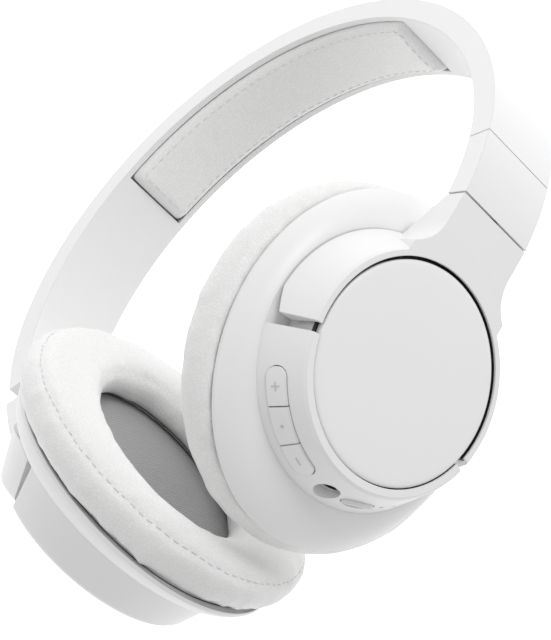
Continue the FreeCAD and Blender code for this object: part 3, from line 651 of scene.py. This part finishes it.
def ring_grid(name: str, rows: List[List[Vector]], finish: Finish,
              closed_tube: bool) -> bpy.types.Object:
    """Skin a row of closed rings, each to the next.

    Args:
        name: the piece's name.
        rows: the rings' points in metres.
        finish: its finish.
        closed_tube: join the last ring to the first; if not, both end rings are capped.

    Returns:
        The object.
    """
    count = len(rows[0])
    verts = [point for ring in rows for point in ring]
    faces = []
    for r in range(len(rows) if closed_tube else len(rows) - 1):
        low, high = r * count, ((r + 1) % len(rows)) * count
        for k in range(count):
            after = (k + 1) % count
            faces.append((low + k, low + after, high + after, high + k))
    if not closed_tube:
        faces.append(tuple(range(count))[::-1])
        faces.append(tuple(range((len(rows) - 1) * count, len(rows) * count)))
    obj = mesh_object(name, verts, faces, finish)
    face_outwards(obj.data)
    return obj


def face_outwards(mesh: bpy.types.Mesh) -> None:
    """Make all normals of a closed mesh point outwards.

    Args:
        mesh: the mesh to change.
    """
    work = bmesh.new()
    work.from_mesh(mesh)
    bmesh.ops.recalc_face_normals(work, faces=work.faces)
    if work.calc_volume(signed=True) < 0:
        bmesh.ops.reverse_faces(work, faces=work.faces)
    work.to_mesh(mesh)
    work.free()


def applied(obj: bpy.types.Object) -> None:
    """Turn the modified shape of an object into its plain mesh.

    Args:
        obj: the object to change.
    """
    depsgraph = bpy.context.evaluated_depsgraph_get()
    fresh = bpy.data.meshes.new_from_object(obj.evaluated_get(depsgraph))
    obj.modifiers.clear()
    old = obj.data
    obj.data = fresh
    bpy.data.meshes.remove(old)
    fresh.shade_smooth()


@dataclass(frozen=True)
class Stuffing:
    """How a soft piece is filled: cloth, blown up from inside and held where it is glued."""

    voxel: float
    pressure: float
    most: float

    def swell(self, obj: bpy.types.Object, held: Callable[[Vector], bool]) -> None:
        """Remesh, inflate and smooth a piece.

        Args:
            obj: the piece, in metres.
            held: says which points don't move.
        """
        remesh = obj.modifiers.new("remesh", "REMESH")
        remesh.mode = "VOXEL"
        remesh.voxel_size = self.voxel * MM
        applied(obj)
        start = [v.co.copy() for v in obj.data.vertices]
        pins = obj.vertex_groups.new(name="held")
        pins.add([k for k, point in enumerate(start) if held(point)], 1.0, "REPLACE")
        self._inflate(obj, start)
        smooth = obj.modifiers.new("smooth", "CORRECTIVE_SMOOTH")
        smooth.factor = 0.5
        smooth.iterations = 6
        smooth.use_only_smooth = True
        smooth.vertex_group = "held"
        smooth.invert_vertex_group = True
        divide = obj.modifiers.new("divide", "SUBSURF")
        divide.levels = divide.render_levels = 1
        applied(obj)
        obj.vertex_groups.clear()

    def _inflate(self, obj: bpy.types.Object, start: List[Vector]) -> None:
        """Blow the piece up as cloth, and keep at most a set move of each point.

        Args:
            obj: the piece, with its held points in a vertex group.
            start: where its points are before.
        """
        cloth = obj.modifiers.new("fill", "CLOTH")
        cloth.settings.use_pressure = True
        cloth.settings.uniform_pressure_force = self.pressure
        cloth.settings.effector_weights.gravity = 0.0
        cloth.settings.vertex_group_mass = "held"
        cloth.settings.quality = 4
        scene = bpy.context.scene
        for number in range(1, 21):
            scene.frame_set(number)
        depsgraph = bpy.context.evaluated_depsgraph_get()
        blown = [v.co.copy() for v in obj.evaluated_get(depsgraph).data.vertices]
        obj.modifiers.clear()
        scene.frame_set(1)
        for vertex, before, after in zip(obj.data.vertices, start, blown):
            move = after - before
            if move.length > self.most * MM:
                move = move.normalized() * self.most * MM
            vertex.co = before + move


# ---------------------------------------------------------------- repeated things on paths

def path_curve(points: Sequence[Vector], closed: bool) -> bpy.types.Object:
    """Link a working curve.

    Args:
        points: its points in metres.
        closed: whether it returns to its start.

    Returns:
        The curve object.
    """
    data = bpy.data.curves.new("path", "CURVE")
    data.dimensions = "3D"
    spline = data.splines.new("POLY")
    spline.points.add(len(points) - 1)
    for target, point in zip(spline.points, points):
        target.co = (*point, 1.0)
    spline.use_cyclic_u = closed
    obj = bpy.data.objects.new("path", data)
    bpy.context.scene.collection.objects.link(obj)
    return obj


class PathTree:
    """A Geometry Nodes tree that lays a bead or stitches along a curve."""

    def __init__(self, name: str, inputs: Sequence[Tuple[str, float]]) -> None:
        """Start the tree.

        Args:
            name: the tree's name.
            inputs: name and default, in metres, of each size.
        """
        self.tree = bpy.data.node_groups.new(name, "GeometryNodeTree")
        face = self.tree.interface
        face.new_socket("Path", in_out="INPUT", socket_type="NodeSocketGeometry")
        self.sockets: Dict[str, str] = {}
        for label, value in inputs:
            socket = face.new_socket(label, in_out="INPUT", socket_type="NodeSocketFloat")
            socket.default_value = value
            self.sockets[label] = socket.identifier
        finish = face.new_socket("Finish", in_out="INPUT", socket_type="NodeSocketMaterial")
        self.sockets["Finish"] = finish.identifier
        face.new_socket("Pieces", in_out="OUTPUT", socket_type="NodeSocketGeometry")
        self.nodes = NodeTree(self.tree)
        self.start = self.nodes.add("NodeGroupInput")
        self.end = self.nodes.add("NodeGroupOutput")

    def close(self, geometry: bpy.types.NodeSocket) -> None:
        """End the tree: realize, shade smooth, set the material, put out.

        Args:
            geometry: what the tree has made.
        """
        n = self.nodes
        real = n.add("GeometryNodeRealizeInstances", Geometry=geometry)
        smooth = n.add("GeometryNodeSetShadeSmooth", Geometry=real.outputs[0])
        paint = n.add("GeometryNodeSetMaterial", Geometry=smooth.outputs[0],
                      Material=self.start.outputs["Finish"])
        n.feed(self.end, Pieces=paint.outputs[0])

    def lay(self, name: str, points: Sequence[Vector], closed: bool, finish: Finish,
            **values: float) -> bpy.types.Object:
        """Run the tree along a path and keep the result as a plain mesh piece.

        Args:
            name: the piece's name.
            points: the path in metres.
            closed: whether the path returns to its start.
            finish: the piece's finish.
            values: the tree's sizes in millimetres, with underscores for spaces.

        Returns:
            The piece.
        """
        path = path_curve(points, closed)
        modifier = path.modifiers.new("lay", "NODES")
        modifier.node_group = self.tree
        modifier[self.sockets["Finish"]] = finish.material()
        for label, value in values.items():
            modifier[self.sockets[label.replace("_", " ")]] = value * MM
        depsgraph = bpy.context.evaluated_depsgraph_get()
        mesh = bpy.data.meshes.new_from_object(path.evaluated_get(depsgraph))
        mesh.name = name
        obj = bpy.data.objects.new(name, mesh)
        bpy.context.scene.collection.objects.link(obj)
        bpy.data.objects.remove(path)
        return obj


def bead_tree() -> PathTree:
    """A round bead along the path.

    Returns:
        The tree.
    """
    made = PathTree("SeamBead", [("Radius", 0.3 * MM)])
    n, start = made.nodes, made.start.outputs
    section = n.add("GeometryNodeCurvePrimitiveCircle", Resolution=10, Radius=start["Radius"])
    sweep = n.add("GeometryNodeCurveToMesh", Curve=start["Path"], Fill_Caps=True,
                  Profile_Curve=section.outputs["Curve"])
    made.close(sweep.outputs["Mesh"])
    return made


def stitch_tree() -> PathTree:
    """Separate rounded stitches that lie along the path.

    Returns:
        The tree.
    """
    made = PathTree("Stitches", [("Spacing", 3.0 * MM), ("Length", 1.9 * MM),
                                 ("Thread Radius", 0.2 * MM)])
    n, start = made.nodes, made.start.outputs
    steps = n.add("GeometryNodeResampleCurve", mode="LENGTH", Curve=start["Path"],
                  Length=start["Spacing"])
    thread = n.add("GeometryNodeMeshUVSphere", Segments=10, Rings=7,
                   Radius=start["Thread Radius"])
    ratio = n.math("DIVIDE", start["Length"], start["Thread Radius"])
    scale = n.add("ShaderNodeCombineXYZ", X=1.0, Y=1.0, Z=n.math("MULTIPLY", ratio, 0.5))
    turn = n.add("FunctionNodeAlignRotationToVector", axis="Z",
                 Vector=n.add("GeometryNodeInputTangent").outputs[0])
    place = n.add("GeometryNodeInstanceOnPoints", Points=steps.outputs["Curve"],
                  Instance=thread.outputs["Mesh"], Rotation=turn.outputs["Rotation"],
                  Scale=scale.outputs["Vector"])
    made.close(place.outputs["Instances"])
    return made


class Trees:
    """The Geometry Nodes trees, each built once."""

    bead = bead_tree()
    stitches = stitch_tree()


# ---------------------------------------------------------------- soft pieces

@dataclass(frozen=True)
class Seam:
    """A sewn seam on the cushion.

    along and outwards place it on the section, as shares. The rest is in millimetres: how
    deep and wide its groove is, and the small folds beside it.
    """

    along: float
    outwards: float
    depth: float
    width: float = 0.95
    fold: float = 0.22
    fold_at: float = 2.2
    fold_spread: float = 2.0
    reach: float = 7.0

    def sink(self, gap: float, angle: float) -> float:
        """How far the seam pulls a point in.

        Args:
            gap: the point's distance from the seam, in millimetres.
            angle: the point's angle round the cushion.

        Returns:
            The depth in millimetres.
        """
        spot = Vector((math.cos(angle) * 9, math.sin(angle) * 9, gap / 9))
        groove = self.depth * math.exp(-(gap / self.width) ** 2)
        spread = math.exp(-((gap - self.fold_at) / self.fold_spread) ** 2)
        return groove + self.fold * noise.noise(spot) * spread


@dataclass(frozen=True)
class EarCushion:
    """A soft oval ring with a crowned face and two seams, in the cup's millimetres.

    section goes round the ring: share from back to face, and share from the ear opening to
    the outer edge.
    """

    side: Side
    back: float = -11.5
    face: float = -23.8
    high: float = 44.8
    wide: float = 42.0
    back_high: float = 43.8
    back_wide: float = 37.4
    ear_high: float = 27.9
    ear_wide: float = 19.9
    full_from: float = 0.3
    glued: float = 1.2
    around: int = 128
    outer: Seam = Seam(along=0.94, outwards=0.99, depth=0.6)
    inner: Seam = Seam(along=0.93, outwards=0.02, depth=0.3)
    stuffing: Stuffing = Stuffing(voxel=2.4, pressure=4.0, most=0.7)
    section: Tuple[Tuple[float, float], ...] = (
        (0.0, 1.0), (0.08, 1.0), (0.16, 1.0), (0.3, 1.0), (0.5, 1.0), (0.7, 1.0), (0.84, 0.98),
        (0.93, 0.92), (0.985, 0.81), (1.0, 0.65), (0.99, 0.46), (0.955, 0.29), (0.88, 0.12),
        (0.76, 0.03), (0.6, 0.0), (0.4, 0.0), (0.2, 0.02), (0.12, 0.08), (0.12, 0.3),
        (0.12, 0.55), (0.12, 0.8), (0.11, 0.9), (0.0, 0.91), (0.0, 0.96))

    def _ring(self, along: float, outwards: float, count: int) -> List[Vector]:
        """Points round the cushion at one place on its section.

        Args:
            along: share from back to face.
            outwards: share from the opening outwards.
            count: how many points.

        Returns:
            The points in metres.
        """
        share = min(along / self.full_from, 1.0)
        high = self.back_high + (self.high - self.back_high) * share
        wide = self.back_wide + (self.wide - self.back_wide) * math.sin(share * math.pi / 2)
        station = self.back + (self.face - self.back) * along
        return cup_oval(PLACES.cup(self.side), station,
                        self.ear_high + (high - self.ear_high) * outwards,
                        self.ear_wide + (wide - self.ear_wide) * outwards, count)

    def build(self) -> bpy.types.Object:
        """Make, fill and sew the cushion.

        Returns:
            The piece.
        """
        rows = [self._ring(along, outwards, self.around) for along, outwards in self.section]
        cushion = ring_grid("cushion_" + self.side.value, rows, Finish.CUSHION, True)
        inside = PLACES.cup(self.side).inverted()
        self.stuffing.swell(
            cushion, lambda point: (inside @ point).x > self.back - self.glued)
        self._sew(cushion)
        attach(cushion, self.side.value + "_cup")
        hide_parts("ear_cushion_" + self.side.value)
        return cushion

    def _sew(self, cushion: bpy.types.Object) -> None:
        """Pull the leatherette in at the seams, and stitch the outer one.

        Args:
            cushion: the filled cushion.
        """
        paths = [(seam, laid_on(cushion, self._ring(seam.along, seam.outwards,
                                                    self.around * 2), 0.0))
                 for seam in (self.outer, self.inner)]
        self._pull_in(cushion, paths)
        lifted = laid_on(cushion, paths[0][1], 0.05)
        stitches = Trees.stitches.lay("cushion_stitches_" + self.side.value, lifted, True,
                                      Finish.THREAD, Spacing=2.6, Length=1.7,
                                      Thread_Radius=0.18)
        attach(stitches, self.side.value + "_cup")

    def _pull_in(self, cushion: bpy.types.Object,
                 paths: Sequence[Tuple[Seam, List[Vector]]]) -> None:
        """Sink the seams into the cushion.

        Args:
            cushion: the filled cushion.
            paths: each seam, and the points it runs through.
        """
        inside = PLACES.cup(self.side).inverted()
        normals = [v.normal.copy() for v in cushion.data.vertices]
        for seam, ring in paths:
            tree = KDTree(len(ring))
            for k, point in enumerate(ring):
                tree.insert(point, k)
            tree.balance()
            for vertex, normal in zip(cushion.data.vertices, normals):
                gap = tree.find(vertex.co)[2] / MM
                if gap <= seam.reach:
                    local = inside @ vertex.co
                    angle = math.atan2(local.z, local.y)
                    vertex.co -= normal * seam.sink(gap, angle) * MM


@dataclass(frozen=True)
class EarCloth:
    """Acoustic cloth over thin foam, behind the ear opening, in the cup's millimetres."""

    side: Side
    back: float = -12.6
    face: float = -12.95
    crown: float = 0.55
    high: float = 31.5
    wide: float = 24.5
    rings: int = 14
    around: int = 96

    def build(self) -> bpy.types.Object:
        """Make the cloth, with a flat UV map in millimetres.

        Returns:
            The piece.
        """
        place = PLACES.cup(self.side)
        shares = [max(r / self.rings, 0.004) for r in range(self.rings + 1)]
        layers = [(share, self.back) for share in shares]
        layers += [(share, self.face - self.crown * (1.0 - share ** 4))
                   for share in reversed(shares)]
        rows: List[List[Vector]] = []
        marks: List[Tuple[float, float]] = []
        for share, station in layers:
            high, wide = self.high * share, self.wide * share
            rows.append(cup_oval(place, station, high, wide, self.around))
            marks += [(wide * math.cos(a), high * math.sin(a)) for a in turns(self.around)]
        cloth = ring_grid("cloth_" + self.side.value, rows, Finish.CLOTH, False)
        layer = cloth.data.uv_layers.new(name="cloth")
        for loop in cloth.data.loops:
            layer.data[loop.index].uv = marks[loop.vertex_index]
        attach(cloth, self.side.value + "_cup")
        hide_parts("ear_cloth_" + self.side.value)
        return cloth


@dataclass(frozen=True)
class CrownPad:
    """The padded strip inside the top of the band, with a stitched border.

    sweep is the angle either side of the top. Depths are inside the band, in millimetres.
    """

    sweep: float = 39.45
    half_width: float = 9.85
    seat_depth: float = 4.45
    face_depth: float = 8.5
    mean_radius: float = 70.0
    end_round: float = 1.8
    end_height: float = 0.3
    corner: float = 1.6
    edge_lift: float = 0.3
    brim: float = 0.4
    bulge: float = 3.2
    glued: float = 1.5
    stitch_end: float = 1.9
    stitch_side: float = 1.7
    steps: int = 96
    stuffing: Stuffing = Stuffing(voxel=0.9, pressure=4.0, most=0.3)

    def build(self) -> bpy.types.Object:
        """Make, fill and stitch the pad.

        Returns:
            The piece.
        """
        rows: List[List[Vector]] = []
        for k in range(self.steps + 1):
            angle = -self.sweep + 2 * self.sweep * k / self.steps
            to_end = (self.sweep - abs(angle)) * math.radians(1) * self.mean_radius
            rise = math.sqrt(max(to_end, 0.02) / self.end_round) * (1.0 - self.end_height)
            half = self.half_width - max(0.0, 1.0 - to_end / self.corner) ** 2
            rows.append([PLACES.crown(angle, across, depth) for across, depth
                         in self._section(half, min(1.0, rise + self.end_height))])
        pad = ring_grid("crown_pad", rows, Finish.HEAD_PAD, False)
        radius = PLACES.sizes.crown_radius
        centre = PLACES.crown(0.0, 0.0, radius)
        held_from = (radius - self.seat_depth - self.glued) * MM
        self.stuffing.swell(
            pad, lambda point: Vector((point.x, 0, point.z - centre.z)).length > held_from)
        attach(pad, "band")
        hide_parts("headband_pad")
        self._stitch(pad)
        return pad

    def _section(self, half: float, taper: float) -> List[Tuple[float, float]]:
        """The outline across the pad: flat on its seat, rounded over its face.

        Args:
            half: half width here.
            taper: height here, as a share of the full height.

        Returns:
            Distance across and depth of each point.
        """
        deep = self.seat_depth + (self.face_depth - self.seat_depth) * taper
        low = self.seat_depth + self.edge_lift
        points = []
        for k in range(33):
            across = -half * math.cos(math.pi * k / 32)
            bulge = (1.0 - abs(across / half) ** self.bulge) ** 0.5
            points.append((across, low + (deep - low) * (self.brim + (1 - self.brim) * bulge)))
        return points + [(half * share, self.seat_depth) for share in (0.98, 0.0, -0.98)]

    def _stitch(self, pad: bpy.types.Object) -> None:
        """Lay a row of stitches inside the pad's edge.

        Args:
            pad: the filled pad.
        """
        end, side = self.sweep - self.stitch_end, self.half_width - self.stitch_side
        over = self.face_depth + 0.5
        border: List[Vector] = []
        for sign in (1, -1):
            border += [PLACES.crown(sign * (-end + 2 * end * k / 120), sign * side, over)
                       for k in range(121)]
            border += [PLACES.crown(sign * end, sign * side * (1 - k / 10), over)
                       for k in range(1, 20)]
        stitches = Trees.stitches.lay("crown_pad_stitches", laid_on(pad, border, 0.04), True,
                                      Finish.THREAD, Spacing=2.7, Length=1.7,
                                      Thread_Radius=0.16)
        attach(stitches, "band")


# ---------------------------------------------------------------- hard details

@dataclass(frozen=True)
class SeamShadeBead:
    """A thin bead in the seam between the shell and the cushion, in the cup's millimetres; its
    grey is painted shade for the seam's dark line.
    """

    side: Side
    station: float = -11.5
    high: float = 43.75
    wide: float = 37.35
    radius: float = 0.2
    around: int = 180

    def build(self) -> None:
        """Lay the line round the cup."""
        ring = cup_oval(PLACES.cup(self.side), self.station, self.high, self.wide, self.around)
        seam = Trees.bead.lay("shell_seam_" + self.side.value, ring, True, Finish.SEAM,
                              Radius=self.radius)
        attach(seam, self.side.value + "_cup")


@dataclass(frozen=True)
class CapDisc:
    """The round cap: a gently crowned satin disc with a softly rounded rim.

    profile is radius share and station, from the middle of the face round to the back.
    """

    side: Side
    radius: float = 26.0
    around: int = 160
    profile: Tuple[Tuple[float, float], ...] = (
        (0.004, 8.33), (0.15, 8.32), (0.3, 8.29), (0.45, 8.25), (0.6, 8.18), (0.75, 8.08),
        (0.88, 7.97), (0.94, 7.9), (0.965, 7.85), (0.982, 7.75), (0.993, 7.6), (1.0, 7.4),
        (1.0, 6.6), (1.0, 5.75), (0.99, 5.62), (0.6, 5.62), (0.3, 5.62), (0.004, 5.62))

    def build(self) -> None:
        """Turn the profile round the cup's axis."""
        place = PLACES.cup(self.side)
        rows = [cup_oval(place, station, self.radius * share, self.radius * share, self.around)
                for share, station in self.profile]
        cap = ring_grid("cap_" + self.side.value, rows, Finish.CAP, False)
        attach(cap, self.side.value + "_cup")
        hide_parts("disc_cap_" + self.side.value)


@dataclass(frozen=True)
class KeyMarks:
    """Plain raised plus, dot and minus signs on the rim keys, in millimetres and degrees."""

    rim_front: float = 28.5
    rim_back: float = 32.6
    rim_depth: float = 12.0
    cap_face: float = 8.0
    station: float = 0.65
    lift: float = 0.42
    thick: float = 0.16
    half_length: float = 1.0
    dot: float = 0.28
    plus_angle: float = 221.5
    dot_angle: float = 238.5
    minus_angle: float = 255.5

    def _on_rim(self, angle: float, along: float, across: float) -> Vector:
        """A point just over a key.

        Args:
            angle: the key's middle, round the rim.
            along: distance from the key's middle along the cup's axis.
            across: distance from the key's middle round the rim.

        Returns:
            The point in metres.
        """
        cone = (self.rim_back - self.rim_front) / self.rim_depth
        radius = self.rim_front + cone * (self.cap_face - self.station - along) + self.lift
        turn = math.radians(angle) + across / radius
        return PLACES.cup(Side.RIGHT) @ Vector(
            (self.station + along, radius * math.cos(turn), radius * math.sin(turn)))

    def _stroke(self, name: str, key: str, angle: float,
                path: Sequence[Tuple[float, float]]) -> None:
        """Lay one stroke of a mark.

        Args:
            name: the stroke's name.
            key: the key it rides on.
            angle: the key's middle, round the rim.
            path: distances along and across from there.
        """
        points = [self._on_rim(angle, along, across) for along, across in path]
        mark = Trees.bead.lay(name, points, False, Finish.MARKS, Radius=self.thick)
        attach(mark, key)

    def build(self) -> None:
        """Lay all the marks."""
        steps = [self.half_length * (k - 4) / 4 for k in range(9)]
        bar = [(0.0, step) for step in steps]
        self._stroke("plus_bar", "volume_up_key", self.plus_angle, bar)
        self._stroke("plus_post", "volume_up_key", self.plus_angle,
                     [(step, 0.0) for step in steps])
        self._stroke("minus_bar", "volume_down_key", self.minus_angle, bar)
        self._stroke("play_dot", "play_key", self.dot_angle,
                     [(self.dot * math.cos(a), self.dot * math.sin(a))
                      for a in (0.0, 1.2, 2.4, 3.6, 4.8, 6.0)])


@dataclass(frozen=True)
class SocketCollar:
    """The steel ring in the mouth of the audio socket, in the cup's millimetres."""

    angle: float = 276.0
    station: float = 0.2
    reach: float = 29.6
    radius: float = 2.35
    thick: float = 0.3
    around: int = 64

    def build(self) -> None:
        """Lay the ring square to the rim."""
        turn = math.radians(self.angle)
        out = Vector((0.0, math.cos(turn), math.sin(turn)))
        across = Vector((0.0, -math.sin(turn), math.cos(turn)))
        axis = Vector((1.0, 0.0, 0.0))
        middle = axis * self.station + out * self.reach
        place = PLACES.cup(Side.RIGHT)
        ring = [place @ (middle + (axis * math.cos(a) + across * math.sin(a)) * self.radius)
                for a in turns(self.around)]
        collar = Trees.bead.lay("socket_collar", ring, True, Finish.STEEL, Radius=self.thick)
        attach(collar, "right_cup")


# ---------------------------------------------------------------- studio

@dataclass(frozen=True)
class Lamp:
    """A soft round light. beside is right of, above and before the object, in metres."""

    name: str
    beside: Point
    size: float
    power: float


@dataclass(frozen=True)
class Studio:
    """Camera, soft lights and a pale ground that the object lies before, in metres."""

    lens: float = 185.8
    sensor: float = 36.0
    eye: Point = (0.38828, -0.40345, -0.65991)
    right: Point = (0.7741, 0.628258, 0.077847)
    up: Point = (0.410254, -0.591499, 0.694133)
    back: Point = (0.482141, -0.505391, -0.715625)
    middle: Point = (0.0, 0.0, -0.09)
    sky: float = 0.6
    lamps: Tuple[Lamp, ...] = (Lamp("key", (0.35, 0.75, 0.65), 0.6, 4.2),
                               Lamp("fill", (-0.9, 0.1, 0.5), 0.9, 0.7))
    ground: Point = (0.0, 0.0, -0.32)
    ground_half: float = 3.0
    ground_colour: Colour = (0.96, 0.96, 0.96)
    ground_roughness: float = 0.9
    ground_glow: float = 0.6

    def _matrix(self, origin: Vector) -> Matrix:
        """A frame square to the camera's view.

        Args:
            origin: where it stands.

        Returns:
            The frame's matrix.
        """
        columns = (self.right, self.up, self.back)
        rows = [[column[k] for column in columns] + [origin[k]] for k in range(3)]
        return Matrix(rows + [[0.0, 0.0, 0.0, 1.0]])

    def _beside(self, offset: Point) -> Vector:
        """A point given right of, above and in front of the object's middle."""
        return (Vector(self.middle) + Vector(self.right) * offset[0]
                + Vector(self.up) * offset[1] + Vector(self.back) * offset[2])

    def _camera(self) -> None:
        """Place the camera and make it the scene's."""
        camera = bpy.data.cameras.new("camera")
        camera.lens = self.lens
        camera.sensor_width = self.sensor
        holder = bpy.data.objects.new("camera", camera)
        holder.matrix_world = self._matrix(Vector(self.eye))
        bpy.context.scene.collection.objects.link(holder)
        bpy.context.scene.camera = holder

    def _lamp(self, lamp: Lamp) -> None:
        """Place one lamp, aimed at the object.

        Args:
            lamp: its sizes.
        """
        light = bpy.data.lights.new(lamp.name, "AREA")
        light.shape = "DISK"
        light.size = lamp.size
        light.energy = lamp.power
        obj = bpy.data.objects.new(lamp.name, light)
        spot = self._beside(lamp.beside)
        aim = (spot - Vector(self.middle)).to_track_quat("Z", "Y").to_matrix().to_4x4()
        obj.matrix_world = Matrix.Translation(spot) @ aim
        bpy.context.scene.collection.objects.link(obj)

    def _paper(self) -> bpy.types.Material:
        """The ground's paper. From behind it is clear, so it hides nothing.

        Returns:
            The material.
        """
        t, shader = start_material("pale_paper")
        t.feed(shader, Base_Color=rgba(self.ground_colour), Roughness=self.ground_roughness,
               Emission_Color=rgba((1.0, 1.0, 1.0)), Emission_Strength=self.ground_glow)
        facing = t.add("ShaderNodeNewGeometry")
        clear = t.add("ShaderNodeBsdfTransparent")
        mix = t.add("ShaderNodeMixShader", Fac=facing.outputs["Backfacing"])
        t.put(mix.inputs[1], shader.outputs["BSDF"])
        t.put(mix.inputs[2], clear.outputs["BSDF"])
        t.put(t.tree.nodes["Material Output"].inputs["Surface"], mix.outputs["Shader"])
        return bpy.data.materials["pale_paper"]

    def _ground(self) -> None:
        """Stand the ground behind the object, square to the view."""
        square = self._matrix(self._beside(self.ground))
        half = self.ground_half
        corners = [square @ Vector((x, y, 0.0)) for x, y in
                   ((-half, -half), (half, -half), (half, half), (-half, half))]
        mesh = bpy.data.meshes.new("ground")
        mesh.from_pydata([tuple(c) for c in corners], [], [(0, 1, 2, 3)])
        mesh.materials.append(self._paper())
        ground = bpy.data.objects.new("ground", mesh)
        bpy.context.scene.collection.objects.link(ground)
        ground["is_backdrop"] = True

    def build(self) -> None:
        """Set up everything round the object."""
        self._camera()
        scene = bpy.context.scene
        scene.world = bpy.data.worlds.new("studio")
        scene.world.use_nodes = True
        sky = scene.world.node_tree.nodes["Background"]
        NodeTree(scene.world.node_tree).feed(sky, Color=rgba((1.0, 1.0, 1.0)),
                                             Strength=self.sky)
        scene.view_settings.view_transform = "Standard"
        for lamp in self.lamps:
            self._lamp(lamp)
        self._ground()


# ---------------------------------------------------------------- the whole

class Headphones:
    """Every piece that Blender adds to the carried model."""

    def build(self) -> None:
        """Build the pieces in order, and report each."""
        log = logging.getLogger("headphones")
        Studio().build()
        dress_nodes()
        CrownPad().build()
        log.info("crown pad built")
        for side in Side:
            for piece in (EarCushion, EarCloth, SeamShadeBead, CapDisc):
                piece(side).build()
                log.info("%s %s built", side.value, piece.__name__)
        KeyMarks().build()
        SocketCollar().build()
        log.info("key marks and socket collar built")


def main() -> None:
    """Build the scene and note the two boxes."""
    logging.basicConfig(level=logging.INFO, format="%(message)s")
    Headphones().build()
    boxes = {"cad": [list(corner) for corner in CAD_BOX],
             "visual": [list(corner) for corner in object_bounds()]}
    logging.getLogger("headphones").info("boxes %s", boxes)


if __name__ == "__main__":
    main()
